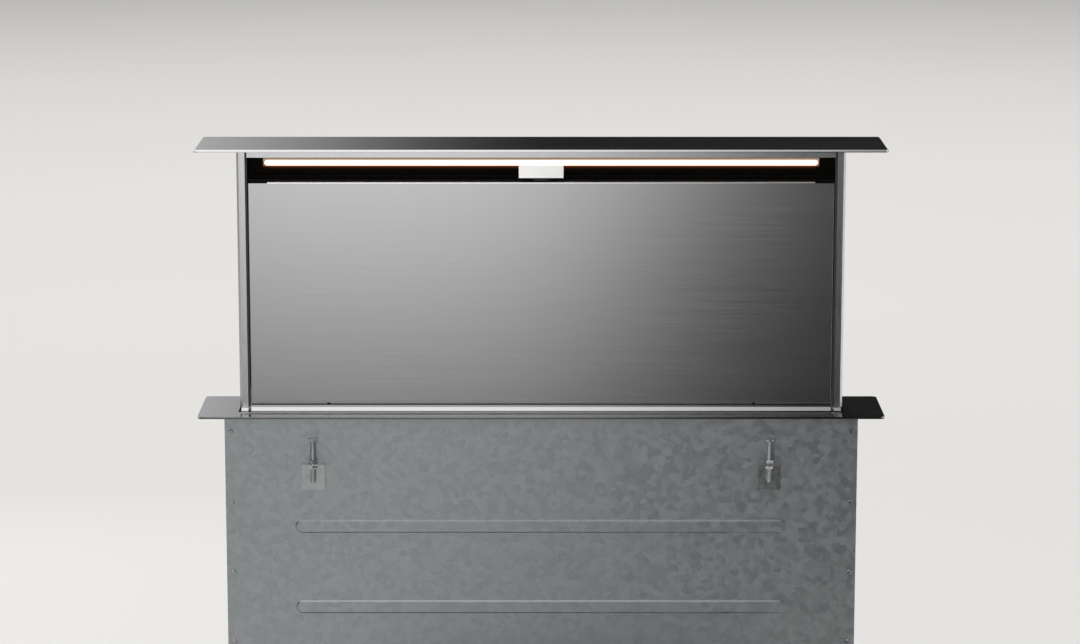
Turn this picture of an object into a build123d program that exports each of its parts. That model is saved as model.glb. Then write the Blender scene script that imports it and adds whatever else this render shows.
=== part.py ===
from build123d import *
import math
import os

# A rising downdraft vent: a lid and its tower lift out of a slotted flange, air goes in through the opening
# under the lid, down behind the front panel, and out through a fan box that hangs below the flange.
# Millimetres. X runs along the vent, its front looks along -Y, and Z is up. While it is modelled, z = 0 is the
# surface that the flange is let into and y = 0 the tower's middle plane; the finished pieces are then set on
# the floor.

# ---------------------------------------------------------------- driving dimensions
# Lid and flange
lid_width = 898.0
lid_depth = 125.0
lid_thickness = 3.2
lid_bevel = 2.0
lid_corner_radius = 5.0
lid_overhang = 52.35  # from the lid's end to the tower's side
lid_margin = 1.0  # the flange shows this much round the closed lid
lid_closed_gap = 1.0  # between the closed lid and the flange
buffer_thickness = 0.7
buffer_radius = 6.0
buffer_inset = 18.0
flange_recess = 4.0  # the flange lies this far below the surface round it
flange_thickness = 2.0
seal_thickness = 1.0
seal_width = 12.0  # at the flange's ends
seal_gap = 5.5  # from the casing's front and rear sheets to the seal
slot_side_gap = 2.15
slot_front_gap = 5.0

# Tower
lift_travel = 348.0
tower_depth = 58.0
upright_face = 11.0
upright_wall = 1.6
upright_bevel = 3.0
groove_width = 1.0
groove_depth = 0.7
groove_inset = 4.65  # from the tower's side to the groove's outer edge
lip_width = 2.6
lip_setback = 3.0
lip_thickness = 3.0
head_rail_height = 11.6
head_rail_wall = 1.5
intake_height = 32.2
sheet = 1.2
back_skirt = 56.0  # the back panel and the front skirt reach this far below the sill
front_skirt_rise = 30.0

# Front panel and sill
panel_side_gap = 1.3
panel_top_flange = 14.0
panel_hem = 5.6  # depth of the returned side and lower edges
panel_edge_radius = 0.8
panel_bend_radius = 1.4  # along the panel's top front edge
panel_notch_width = 25.0
panel_notch_depth = 1.6
panel_sill_gap = 3.05
sill_height = 8.5
sill_step = 1.0  # the sill's upper part lies this far behind the panel's face
sill_bevel = 4.2  # its lower part slopes forward from there at 45 degrees
foot_height = 5.5
foot_side_inset = 1.85
peg_radius = 2.0
peg_inset = 101.75  # from the panel's side

# Lamp and intake
lamp_setback = 20.0
lamp_end_gap = 21.85  # from the lamp's end to the upright's lip
lamp_height = 7.3
lamp_rise = 4.95  # from the carrier's underside to the lamp's middle
carrier_height = 14.5
carrier_depth = 17.0
carrier_end = 1.8
pocket_depth = 10.0
diffuser_depth = 4.0
diffuser_proud = 0.4
board_thickness = 1.6
lamp_board_gap = 1.0  # from the board's edge to the pocket's wall
diode_pitch = 16.0
diode_size = 2.8
diode_height = 0.8
touch_board_length = 72.0
touch_board_depth = 30.0
touch_board_inset = 10.0
touch_chip_size = 10.0
touch_chip_height = 1.2
baffle_setback = 21.5
ledge_rise = 7.5
ledge_height = 4.5
ledge_reach = 5.7

# Grease filters
filter_thickness = 10.0
filter_gap = 0.3
filter_border = 12.0
filter_lift = 4.5
filter_mesh_thickness = 1.0
filter_pleats = 30
filter_rail_rise = 24.0  # from the sill's underside to the filters' seat
filter_rail_lip = 7.0

# Panel catch
tab_width = 58.2
tab_height = 16.1
tab_thickness = 1.5
tab_setback = 8.0
tab_drop_gap = 4.6  # between the panel's top and the tab's lower edge
finger_ledge = 2.5
catch_travel = 4.0
catch_gap = 0.3
catch_half_width = 19.6
catch_depth = 9.5
catch_height = 7.5
catch_ear = 2.0
tongue_half_width = 10.0
tongue_thickness = 2.0
guide_wall = 3.1

# Carriage, rails and belts
carriage_length = 164.0  # below the flange, with the tower up
carriage_plate = 5.0
carriage_plate_inset = 3.45  # from the tower's side to the plate's outer face
carriage_tongue_depth = 44.0
carriage_tongue_rise = 60.0
carriage_head_gap = 59.0  # from the flange's underside to the wide part of the plate
beam_height = 40.0
beam_depth = 24.0
beam_wall = 2.0
drive_space = 18.35  # from the tower's side to the casing's side wall
rail_depth = 17.0
rail_width = 21.5
rail_middle = 29.25  # from the tower's middle plane to the rail's middle
rail_wall = 1.5
rail_end_gap = 6.0
glider_gap = 0.5
glider_height = 30.0
belt_wall_gap = 11.0  # from the casing's side wall to the belt's middle
belt_width = 9.4
belt_thickness = 1.4
pulley_pitch_radius = 12.7
pulley_flange_radius = 15.0
pulley_flange = 1.1
belt_gap = 0.3
clamp_gap = 0.4
clamp_height = 22.0
clamp_wall = 3.0
idler_drop = 20.0
idler_pin_radius = 3.0
idler_bracket_height = 34.0

# Casing and drive
casing_gap = 15.8  # between the tower and the casing, front and back
casing_fold = 16.0  # the side sheets' returned edges, which the front and rear sheets are screwed to
bead_width = 18.0  # the pressed beads that stiffen the front and rear sheets
bead_height = 2.4
bead_taper = 40.0  # degrees
bead_pitch = 110.0
bead_drop = 150.0  # from the flange's underside to the first bead's middle
bead_end_gap = 90.0  # from the casing's side wall to the bead's end
blank_margin = 20.0  # the blanking plate laps this far over the rim of its hole
blank_corner_radius = 6.0
drive_bay = 182.0  # below the carriage, with the tower down
shaft_height = 60.0
shaft_radius = 5.0
shaft_end = 7.0
bearing_length = 12.0
bearing_width = 26.0
bearing_set_in = 8.0
gearbox_inset = 150.0  # from the casing's left side wall
gearbox_length = 50.0
gearbox_width = 44.0
gearbox_top = 26.0
lift_motor_radius = 18.0
lift_motor_length = 62.0
running_fit = 0.05
push_fit = 0.02
foot_plate = 3.0
foot_reach = 28.0
foot_width = 80.0
foot_bracket_height = 120.0
floor_gap = 40.0
floor_bolt_radius = 4.0
floor_bolt_spacing = 50.0
worktop_thickness = 30.0
worktop_clamp_inset = 115.0  # from the casing's side wall
worktop_clamp_width = 30.0
worktop_clamp_drop = 70.0
worktop_clamp_reach = 14.0
worktop_clamp_plate = 2.0
clamp_screw_radius = 3.0
clamp_pad_radius = 6.5
switch_inset = 65.0  # from the casing's side wall
switch_width = 20.0
switch_height = 28.0
switch_depth = 9.0
switch_notch = 7.0

# Fan box
duct_radius = 75.0
spigot_length = 60.0
spigot_wall = 1.5
spigot_flange = 9.0
duct_margin = 10.0  # between the duct and the fan box's front and back
outlet_margin = 3.0
outlet_reach = 270.0  # from the fan's middle to the box's right wall
fan_x = -30.0
fan_height = 125.0  # the fan's middle above the casing's bottom
impeller_radius = 105.0
blade_depth = 17.0
impeller_width = 85.0
blade_count = 32
blade_thickness_angle = 0.8
impeller_gap = 10.0
impeller_plate = 1.5
hub_radius = 14.0
fan_shaft_radius = 4.0
scroll_gap = 15.0
tongue_radius = 15.0
box_margin = 9.0
cover_setback = 3.0  # the cover sits this far inside the box's rim
cover_land_radius = 64.0  # the flat that the motor is fixed to
cover_dish_radius = 98.0
cover_dish_depth = 3.0
inlet_radius = 80.0
inlet_ring_length = 14.0
inlet_flange = 20.0
fan_motor_radius = 52.0
fan_motor_boss = 16.0
fan_motor_gap = 6.0
rubber_foot_radius = 14.0
rubber_foot_inset = 34.0
damper_gap = 1.0
damper_plate = 1.0
damper_pin_radius = 2.0
damper_sleeve = 1.2
damper_x_gap = 6.0
damper_sleeve_length = 36.0

# Control box
control_width = 170.0
control_height = 190.0
control_depth = 84.0
control_wall = 1.5
control_gap = 36.0  # between the control box and the fan box
control_rise = 60.0  # the control box's underside above the casing's bottom
vent_count = 7
vent_pitch = 9.0
vent_length = 90.0
vent_width = 3.0
vent_drop = 32.0  # from the control box's top to the first air slot
board_gap = 11.0
board_margin = 12.0
spacer_radius = 3.0
relay_size = 16.0
relay_pitch = 26.0
relay_count = 4
transformer_size = 52.0
transformer_height = 36.0
inlet_gland_radius = 11.0
inlet_gland_bore = 4.5
inlet_gland_length = 22.0

# ---------------------------------------------------------------- levels and planes worked out from them
flange_top = -flange_recess
flange_bottom = flange_top - flange_thickness
lid_bottom = lift_travel + flange_top + lid_closed_gap
lid_top = lid_bottom + lid_thickness
head_bottom = lid_bottom - head_rail_height
panel_top = head_bottom - intake_height
sill_top = flange_top + sill_height
panel_bottom = sill_top + panel_sill_gap
foot_top = flange_top + foot_height
filter_seat = flange_top + filter_rail_rise
ledge_top = panel_top + ledge_rise
carrier_bottom = head_bottom - carrier_height
lamp_z = carrier_bottom + lamp_rise
carriage_bottom = flange_bottom - carriage_length
carriage_head = flange_bottom - carriage_head_gap
casing_bottom = carriage_bottom - lift_travel - drive_bay
floor = casing_bottom - floor_gap
shaft_z = casing_bottom + shaft_height
idler_z = flange_bottom - idler_drop

tower_half = lid_width / 2 - lid_overhang
front = -tower_depth / 2
back = tower_depth / 2
upright_inner = tower_half - upright_face
lip_inner = upright_inner - lip_width
lip_back = front + lip_setback + lip_thickness
panel_half = lip_inner - panel_side_gap
lamp_length = 2 * (lip_inner - lamp_end_gap)
peg_x = panel_half - peg_inset
carrier_front = front + lamp_setback
baffle_front = front + baffle_setback
plate_out = tower_half - carriage_plate_inset
plate_in = plate_out - carriage_plate
casing_half = tower_half + drive_space
casing_back_y = back + casing_gap
casing_outer_y = casing_back_y + sheet
gearbox_x = gearbox_inset - casing_half
worktop_clamp_x = casing_half - worktop_clamp_inset
switch_x = casing_half - switch_inset
belt_x = casing_half - belt_wall_gap
rail_in = casing_half - rail_depth
rail_y0 = rail_middle - rail_width / 2
rail_y1 = rail_middle + rail_width / 2
flange_half_x = lid_width / 2 + lid_margin
flange_half_y = lid_depth / 2 + lid_margin

spigot_bore = duct_radius - spigot_wall
fan_z = casing_bottom + fan_height
fan_box_back = -casing_outer_y
fan_box_front = fan_box_back - 2 * (duct_radius + duct_margin)
fan_back = fan_box_back - sheet
fan_front = fan_box_front + cover_setback + sheet
duct_y = (fan_box_back + fan_box_front) / 2
scroll_radius = impeller_radius + scroll_gap
outlet_height = 2 * (spigot_bore + outlet_margin)
scroll_step = (outlet_height + tongue_radius - scroll_radius) / 3
scroll_top = fan_z + scroll_radius + 2.5 * scroll_step
duct_z = scroll_top - outlet_height / 2
fan_box_right = fan_x + outlet_reach
fan_box_left = fan_x - 1.5 * scroll_step - scroll_radius - sheet - box_margin
fan_box_top = scroll_top + sheet + box_margin
fan_box_bottom = fan_z - scroll_step / 2 - scroll_radius - sheet - box_margin
impeller_back = fan_back - impeller_gap
impeller_front = impeller_back - impeller_width
fan_motor_end = impeller_front - fan_motor_gap
damper_x = fan_box_right + damper_x_gap
control_right = fan_box_left - control_gap
control_left = control_right - control_width
control_bottom = casing_bottom + control_rise
control_top = control_bottom + control_height
control_front = fan_box_back - control_depth

# The finished vent stands on the floor, with its origin under the middle of its bounding box.
on_floor = Pos(0, -(fan_box_front + flange_half_y) / 2, -floor)


# ---------------------------------------------------------------- shared shapes
def block(x0, x1, y0, y1, z0, z1):
    """A box between two x, two y and two z."""
    return Pos((x0 + x1) / 2, (y0 + y1) / 2, (z0 + z1) / 2) * Box(x1 - x0, y1 - y0, z1 - z0)


def rod_x(x0, x1, y, z, radius):
    """A cylinder along X."""
    return Pos((x0 + x1) / 2, y, z) * Rot(0, 90, 0) * Cylinder(radius, x1 - x0)


def rod_y(x, y0, y1, z, radius):
    """A cylinder along Y."""
    return Pos(x, (y0 + y1) / 2, z) * Rot(90, 0, 0) * Cylinder(radius, y1 - y0)


def rod_z(x, y, z0, z1, radius):
    """A cylinder along Z."""
    return Pos(x, y, (z0 + z1) / 2) * Cylinder(radius, z1 - z0)


def along_y(face, y0, y1):
    """A face drawn in X and Z, extruded between two y."""
    return extrude(Plane.XZ.offset(-y1) * face, amount=y1 - y0)


def mirrored(shape):
    """The same piece on the vent's other end."""
    return mirror(shape, about=Plane.YZ)


def both_ends(shape):
    return [mirrored(shape), shape]


def shell(x0, x1, y0, y1, z0, z1, wall):
    """A box of sheet that is open at its front."""
    return block(x0, x1, y0, y1, z0, z1) - block(x0 + wall, x1 - wall, y0, y1 - wall, z0 + wall, z1 - wall)


# ---------------------------------------------------------------- flange and lid
def make_lid_plate():
    """The steel lid, rounded at its corners and bevelled round its top."""
    half_x = lid_width / 2
    half_y = lid_depth / 2
    plate = block(-half_x, half_x, -half_y, half_y, lid_bottom, lid_top)
    plate = fillet(plate.edges().filter_by(Axis.Z), lid_corner_radius)
    return chamfer(plate.faces().sort_by(Axis.Z)[-1].edges(), lid_bevel)


def make_lid_buffers():
    """Rubber discs that meet the flange when the lid closes."""
    end = lid_width / 2 - buffer_inset
    side = lid_depth / 2 - buffer_inset + buffer_radius
    return [
        rod_z(x, y, lid_bottom - buffer_thickness, lid_bottom, buffer_radius)
        for x in (-end, 0, end)
        for y in (-side, side)
    ]


def make_flange_plate():
    """The steel frame that the vent hangs by, with the slot for the tower."""
    plate = block(-flange_half_x, flange_half_x, -flange_half_y, flange_half_y, flange_bottom, flange_top)
    plate = fillet(plate.edges().filter_by(Axis.Z), lid_corner_radius + lid_margin)
    slot_x = tower_half + slot_side_gap
    slot_y = back + slot_front_gap
    return plate - block(-slot_x, slot_x, -slot_y, slot_y, flange_bottom, flange_top)


def make_flange_seal():
    """A foam strip under the flange's rim, which beds and seals it."""
    low = flange_bottom - seal_thickness
    rim = block(-flange_half_x, flange_half_x, -flange_half_y, flange_half_y, low, flange_bottom)
    rim = fillet(rim.edges().filter_by(Axis.Z), lid_corner_radius + lid_margin)
    inner_x = flange_half_x - seal_width
    inner_y = casing_outer_y + seal_gap
    return rim - block(-inner_x, inner_x, -inner_y, inner_y, low, flange_bottom)


# ---------------------------------------------------------------- tower
def make_upright():
    """The right-hand upright: a hollow profile with a lip at each face for the panels."""
    outline = Polygon(
        (upright_inner, front),
        (tower_half - upright_bevel, front),
        (tower_half, front + upright_bevel),
        (tower_half, back - upright_bevel),
        (tower_half - upright_bevel, back),
        (upright_inner, back),
        align=None,
    )
    profile = outline - offset(outline, -upright_wall, kind=Kind.INTERSECTION)
    column = Pos(0, 0, foot_top) * extrude(profile, amount=lid_bottom - foot_top)
    lip = block(lip_inner, upright_inner, front + lip_setback, lip_back, foot_top, lid_bottom)
    groove_x = tower_half - groove_inset
    groove = block(groove_x - groove_width, groove_x, front, front + groove_depth, foot_top, lid_bottom)
    return column + lip + mirror(lip, about=Plane.XZ) - groove


def make_head_rail():
    """The hollow rail that carries the lid between the uprights."""
    half = lip_inner - push_fit
    tube = block(-half, half, front, back, head_bottom, lid_bottom)
    inner_y = back - head_rail_wall
    return tube - block(
        -half, half, -inner_y, inner_y, head_bottom + head_rail_wall, lid_bottom - head_rail_wall
    )


def make_back_panel():
    """The tower's plain rear sheet, seated on the uprights' rear lips."""
    half = upright_inner - push_fit
    seat = -front - lip_setback
    return block(-half, half, seat, seat + sheet, flange_top - back_skirt, head_bottom)


def make_front_skirt():
    """The sheet behind the sill, which closes the tower's front down into the casing."""
    half = upright_inner - push_fit
    return block(
        -half, half, lip_back, lip_back + sheet, flange_top - back_skirt, flange_top + front_skirt_rise
    )


def sill_bar(x0, x1, rear):
    """The bright bar along the tower's foot between two x, sloped along its front."""
    near = front + sill_step
    toe = near - sill_bevel
    section = Polygon(
        (near, foot_top),
        (toe, foot_top - sill_bevel),
        (toe, flange_top),
        (rear, flange_top),
        (rear, foot_top),
        align=None,
    )
    return extrude(Plane.YZ.offset(x0) * section, amount=x1 - x0)


def make_sill():
    """The sill under the panel, with its two locating pegs, and the foot under each upright."""
    lower = sill_bar(-panel_half, panel_half, lip_back)
    upper = block(-panel_half, panel_half, front + sill_step, lip_back, foot_top, sill_top)
    peg_y = (front + sill_step + lip_back) / 2
    pegs = [
        rod_z(x, peg_y, sill_top, panel_bottom, peg_radius) for x in (-peg_x, peg_x)
    ]
    foot_out = tower_half - foot_side_inset
    foot = sill_bar(upright_inner, foot_out, back)
    half_tongue = carriage_tongue_depth / 2
    foot -= block(plate_in, plate_out, -half_tongue, half_tongue, flange_top, foot_top)
    return [lower + upper + pegs, *both_ends(foot)]


def make_front_panel():
    """The large steel panel, a shallow pan with returned edges and a slot for the catch."""
    shoulder = panel_top - panel_notch_depth
    flange_half = panel_half - panel_notch_width
    hem = front + panel_hem
    skin = block(-panel_half, panel_half, front, front + sheet, panel_bottom, shoulder)
    skin += block(-flange_half, flange_half, front, front + sheet, shoulder - sheet, panel_top)
    side = block(panel_half - sheet, panel_half, front, hem, panel_bottom, shoulder)
    pan = skin + side + mirrored(side)
    pan += block(-panel_half, panel_half, front, hem, panel_bottom, panel_bottom + sheet)
    flange_edge = front + panel_top_flange
    pan += block(-flange_half, flange_half, front, flange_edge, panel_top - sheet, panel_top)
    front_edges = pan.edges().filter_by(Axis.Z).group_by(Axis.Y)[0]
    long_edges = front_edges.filter_by(lambda edge: edge.length > panel_top_flange)
    pan = fillet(long_edges, panel_edge_radius)
    bend = pan.edges().filter_by(Axis.X).group_by(Axis.Z)[-1].group_by(Axis.Y)[0]
    pan = fillet(bend, panel_bend_radius)
    slot_half = tongue_half_width + catch_gap
    tongue_y0, tongue_y1 = tongue_span()
    return pan - block(
        -slot_half, slot_half, tongue_y0 - catch_gap, tongue_y1 + catch_gap, panel_top - sheet, panel_top
    )


# ---------------------------------------------------------------- lamp and intake
def stadium(length, height, y0, y1):
    """A bar with half-round ends, along X at the lamp's height."""
    return along_y(Pos(0, lamp_z) * SlotOverall(length, height), y0, y1)


def make_lamp_carrier():
    """The dark profile under the head rail, with the pocket for the lamp."""
    half = lamp_length / 2 + carrier_end
    body = block(-half, half, carrier_front, carrier_front + carrier_depth, carrier_bottom, head_bottom)
    return body - stadium(lamp_length, lamp_height, carrier_front, carrier_front + pocket_depth)


def make_diffuser():
    """The opal strip that the light comes through."""
    gap = 2 * push_fit
    return stadium(
        lamp_length - gap, lamp_height - gap, carrier_front - diffuser_proud, carrier_front + diffuser_depth
    )


def make_led_board():
    """The strip of diodes at the bottom of the carrier's pocket."""
    deep = carrier_front + pocket_depth
    face = deep - board_thickness
    half = lamp_length / 2 - lamp_height
    half_height = lamp_height / 2 - lamp_board_gap
    strip = block(-half, half, face, deep, lamp_z - half_height, lamp_z + half_height)
    count = int(2 * half / diode_pitch)
    first = -(count - 1) / 2 * diode_pitch
    diode = Pos(first, face - diode_height / 2, lamp_z) * Box(diode_size, diode_height, diode_size)
    return strip + [Pos(i * diode_pitch, 0, 0) * diode for i in range(count)]


def make_touch_board():
    """The touch sensor board, held under the lid inside the head rail."""
    right = lip_inner - touch_board_inset
    top = lid_bottom - head_rail_wall
    face = top - board_thickness
    half_depth = touch_board_depth / 2
    board = block(right - touch_board_length, right, -half_depth, half_depth, face, top)
    chip = Box(touch_chip_size, touch_chip_size, touch_chip_height)
    return board + Pos(right - touch_board_length / 2, 0, face - touch_chip_height / 2) * chip


def make_intake_baffle():
    """The black wall behind the intake slot, with the channel that holds the filters' tops."""
    half = lip_inner - push_fit
    seat = -front - lip_setback
    lip_y = baffle_front - ledge_reach
    lid_sheet = block(-half, half, lip_y, seat, ledge_top - sheet, ledge_top)
    wall = block(-half, half, baffle_front, baffle_front + sheet, ledge_top - sheet, carrier_bottom)
    front_lip = block(-half, half, lip_y, lip_y + sheet, ledge_top - ledge_height, ledge_top)
    rear_y = filter_back() + filter_gap
    rear_lip = block(-half, half, rear_y, rear_y + sheet, ledge_top - filter_lift - ledge_height, ledge_top)
    carrier_half = lamp_length / 2 + carrier_end
    end = block(carrier_half + push_fit, half, baffle_front, baffle_front + sheet, ledge_top, head_bottom)
    return lid_sheet + wall + front_lip + rear_lip + end + mirrored(end)


def filter_back():
    """The y of the filters' rear faces."""
    return baffle_front - ledge_reach + sheet + filter_gap + filter_thickness


def make_filters():
    """Two grease filters side by side: a frame each, and a pleated mesh in each frame."""
    rear = filter_back()
    near = rear - filter_thickness
    z0 = filter_seat
    z1 = ledge_top - sheet - filter_lift
    x0 = filter_gap
    x1 = lip_inner - 2 * filter_gap
    hole = (x0 + filter_border, x1 - filter_border, z0 + filter_border, z1 - filter_border)
    frame = block(x0, x1, near, rear, z0, z1) - block(hole[0], hole[1], near, rear, hole[2], hole[3])
    pleat = (hole[1] - hole[0]) / filter_pleats
    half_mesh = filter_mesh_thickness / 2
    crest = rear - half_mesh - filter_gap
    trough = near + half_mesh + filter_gap
    ridge = [(hole[0] + i * pleat, crest if i % 2 else trough) for i in range(filter_pleats + 1)]
    outline = [(x, y - half_mesh) for x, y in ridge] + [(x, y + half_mesh) for x, y in reversed(ridge)]
    mesh = Pos(0, 0, hole[2]) * extrude(Polygon(*outline, align=None), amount=hole[3] - hole[2])
    return both_ends(frame), both_ends(mesh)


def make_filter_rail():
    """The channel that the filters stand in, screwed to the front skirt."""
    half = lip_inner - push_fit
    rear = filter_back() + filter_gap
    near = rear - filter_thickness - 2 * filter_gap
    web = block(-half, half, lip_back + sheet, rear + sheet, filter_seat - sheet, filter_seat)
    near_lip = block(-half, half, near - sheet, near, filter_seat - sheet, filter_seat + filter_rail_lip)
    rear_lip = block(-half, half, rear, rear + sheet, filter_seat - sheet, filter_seat + filter_rail_lip)
    return web + near_lip + rear_lip


# ---------------------------------------------------------------- panel catch
def tongue_span():
    """The y of the catch tongue's two faces."""
    tongue_front = front + tab_setback + tab_thickness
    return tongue_front, tongue_front + tongue_thickness


def make_catch_tab():
    """The bright steel tab in the middle of the intake, with its finger ledge."""
    half = tab_width / 2
    tab_front = front + tab_setback
    z0 = panel_top + tab_drop_gap
    plate = block(-half, half, tab_front, tab_front + tab_thickness, z0, z0 + tab_height)
    return plate + block(-half, half, tab_front - finger_ledge, tab_front, z0, z0 + tab_thickness)


def make_catch_slider():
    """The black slider behind the tab, whose tongue drops through the panel's top flange."""
    y0, y1 = tongue_span()
    z0 = ledge_top + catch_gap
    z1 = z0 + catch_height
    body = block(-catch_half_width, catch_half_width, y0, y0 + catch_depth, z0, z1)
    ear_y = y0 + catch_depth / 2
    ear_half = catch_half_width + catch_ear
    body += block(-ear_half, ear_half, ear_y - catch_ear / 2, ear_y + catch_ear / 2, z0, z1)
    tongue_bottom = panel_top + catch_gap - catch_travel
    return body + block(-tongue_half_width, tongue_half_width, y0, y1, tongue_bottom, z0)


def make_catch_guides():
    """The two grooved blocks on the baffle that the slider's ears run in."""
    y0, _ = tongue_span()
    ear_y = y0 + catch_depth / 2
    groove_half = catch_ear / 2 + catch_gap
    x0 = catch_half_width + catch_gap
    groove_x = x0 + catch_ear
    near = ear_y - groove_half - guide_wall
    guide = block(x0, groove_x + guide_wall, near, baffle_front, ledge_top, carrier_bottom)
    return both_ends(
        guide - block(x0, groove_x, ear_y - groove_half, ear_y + groove_half, ledge_top, carrier_bottom)
    )


# ---------------------------------------------------------------- carriage
def make_carriage_plates():
    """The plate at each end that joins the tower to its gliders and its belt."""
    half_tongue = carriage_tongue_depth / 2
    half_wide = rail_y1 - rail_wall - glider_gap
    tongue = block(plate_in, plate_out, -half_tongue, half_tongue, carriage_head, carriage_tongue_rise)
    wide = block(plate_in, plate_out, -half_wide, half_wide, carriage_bottom, carriage_head)
    return both_ends(tongue + wide)


def make_carriage_beam():
    """The box beam that keeps the two carriage plates level."""
    half_y = beam_depth / 2
    beam = block(-plate_in, plate_in, -half_y, half_y, carriage_bottom, carriage_bottom + beam_height)
    inner_y = half_y - beam_wall
    return beam - block(
        -plate_in,
        plate_in,
        -inner_y,
        inner_y,
        carriage_bottom + beam_wall,
        carriage_bottom + beam_height - beam_wall,
    )


def make_gliders():
    """Plastic blocks on the carriage plates, which run in the guide rails."""
    x1 = casing_half - rail_wall - glider_gap
    y0 = rail_y0 + rail_wall + glider_gap
    y1 = rail_y1 - rail_wall - glider_gap
    upper = block(plate_out, x1, y0, y1, carriage_head - glider_height, carriage_head)
    lower = block(plate_out, x1, y0, y1, carriage_bottom, carriage_bottom + glider_height)
    right = [upper, lower, mirror(upper, about=Plane.XZ), mirror(lower, about=Plane.XZ)]
    return right + [mirrored(glider) for glider in right]


def make_belt_clamps():
    """The block on each carriage plate that holds the belt's rear run."""
    gap_y = belt_thickness / 2 + clamp_gap
    gap_x = belt_width / 2 + clamp_gap
    z1 = carriage_head - glider_height / 2
    z0 = z1 - clamp_height
    outer = pulley_pitch_radius + gap_y + clamp_wall
    inner = pulley_pitch_radius - gap_y - clamp_wall
    clamp = block(plate_out, belt_x + gap_x + clamp_wall / 2, inner, outer, z0, z1)
    clamp -= block(
        belt_x - gap_x, belt_x + gap_x, pulley_pitch_radius - gap_y, pulley_pitch_radius + gap_y, z0, z1
    )
    return both_ends(clamp)


# ---------------------------------------------------------------- casing
def bead(y, z, inset):
    """A pressed bead on a sheet's face that looks along -Y, or its hollow when it is inset."""
    length = 2 * (casing_half - bead_end_gap - inset)
    outline = Pos(0, z) * SlotOverall(length, bead_width - 2 * inset)
    return extrude(Plane.XZ.offset(-y) * outline, amount=bead_height, taper=bead_taper)


def casing_sheet(lowest_bead):
    """A large sheet with its hole for the fan, and beads pressed outwards down to a given height."""
    half = casing_half + sheet
    wall = block(-half, half, -casing_outer_y, -casing_back_y, casing_bottom, flange_bottom)
    first = flange_bottom - bead_drop
    for i in range(int((first - lowest_bead) / bead_pitch) + 1):
        z = first - i * bead_pitch
        wall += bead(-casing_outer_y, z, 0)
        wall -= bead(-casing_back_y, z, sheet)
    return wall - rod_y(fan_x, -casing_outer_y, -casing_back_y, fan_z, inlet_radius)


def make_casing_front():
    """The casing's front sheet, beaded above the fan box."""
    return casing_sheet(fan_box_top + bead_width)


def make_casing_back():
    """The rear sheet, and the plate that closes its hole while the fan box hangs in front."""
    reach = inlet_radius + blank_margin
    wall = mirror(casing_sheet(fan_z + reach + bead_width), about=Plane.XZ)
    blank = block(
        fan_x - reach, fan_x + reach, casing_outer_y, casing_outer_y + sheet, fan_z - reach, fan_z + reach
    )
    return [wall, fillet(blank.edges().filter_by(Axis.Y), blank_corner_radius)]


def make_casing_side():
    """The right-hand side sheet, between the front and the back, with its returned edges."""
    side = block(
        casing_half, casing_half + sheet, -casing_back_y, casing_back_y, casing_bottom, flange_bottom
    )
    fold = block(
        casing_half - casing_fold,
        casing_half,
        casing_back_y - sheet,
        casing_back_y,
        casing_bottom + sheet,
        flange_bottom,
    )
    return side + fold + mirror(fold, about=Plane.XZ)


def make_casing_base():
    return block(
        -casing_half, casing_half, -casing_back_y, casing_back_y, casing_bottom, casing_bottom + sheet
    )


def make_foot_brackets():
    """The angle on each side of the casing that bolts it to the floor."""
    x0 = casing_half + sheet
    half = foot_width / 2
    upright = block(x0, x0 + foot_plate, -half, half, floor, floor + foot_bracket_height)
    foot = block(x0, x0 + foot_reach, -half, half, floor, floor + foot_plate)
    holes = [
        rod_z(foot_bolt_x(), y, floor, floor + foot_plate, floor_bolt_radius)
        for y in (-floor_bolt_spacing / 2, floor_bolt_spacing / 2)
    ]
    return both_ends(upright + foot - holes)


def foot_bolt_x():
    """The x of the floor bolts, midway along the bracket's foot."""
    return casing_half + sheet + (foot_plate + foot_reach) / 2


def make_guide_rails():
    """Two channels on each side wall, in front of the belt and behind it."""
    z0 = casing_bottom + sheet + rail_end_gap
    z1 = flange_bottom - rail_end_gap
    rail = block(rail_in, casing_half, rail_y0, rail_y1, z0, z1)
    rail -= block(rail_in, casing_half - rail_wall, rail_y0 + rail_wall, rail_y1 - rail_wall, z0, z1)
    right = [rail, mirror(rail, about=Plane.XZ)]
    return right + [mirrored(piece) for piece in right]


def belt_loop(radius):
    """The outline of a belt's loop in Y and Z, at a given radius round its pulleys."""
    middle = (idler_z + shaft_z) / 2
    spread = idler_z - shaft_z
    return Pos(0, middle) * Rot(0, 0, 90) * SlotCenterToCenter(spread, 2 * radius)


def make_belts():
    """The flat belt at each end, drawn as one closed loop."""
    half_thickness = belt_thickness / 2
    band = belt_loop(pulley_pitch_radius + half_thickness) - belt_loop(pulley_pitch_radius - half_thickness)
    belt = extrude(Plane.YZ.offset(belt_x - belt_width / 2) * band, amount=belt_width)
    return both_ends(belt)


def pulley(z, bore):
    """A flanged belt pulley on the right-hand belt's line."""
    groove_half = belt_width / 2 + belt_gap
    outer_half = groove_half + pulley_flange
    hub_r = pulley_pitch_radius - belt_thickness / 2 - belt_gap
    body = rod_x(belt_x - outer_half, belt_x + outer_half, 0, z, hub_r)
    body += rod_x(belt_x - outer_half, belt_x - groove_half, 0, z, pulley_flange_radius)
    body += rod_x(belt_x + groove_half, belt_x + outer_half, 0, z, pulley_flange_radius)
    return body - rod_x(belt_x - outer_half, belt_x + outer_half, 0, z, bore)


def make_idler_brackets():
    """The plate and pin that carry the idler at each end."""
    inner_x = belt_x + belt_width / 2 + belt_gap + pulley_flange + belt_gap
    half = pulley_flange_radius
    half_height = idler_bracket_height / 2
    plate = block(inner_x, casing_half, -half, half, idler_z - half_height, idler_z + half_height)
    pin_end = belt_x - belt_width / 2 - belt_gap - pulley_flange
    return both_ends(plate + rod_x(pin_end, inner_x, 0, idler_z, idler_pin_radius))


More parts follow.
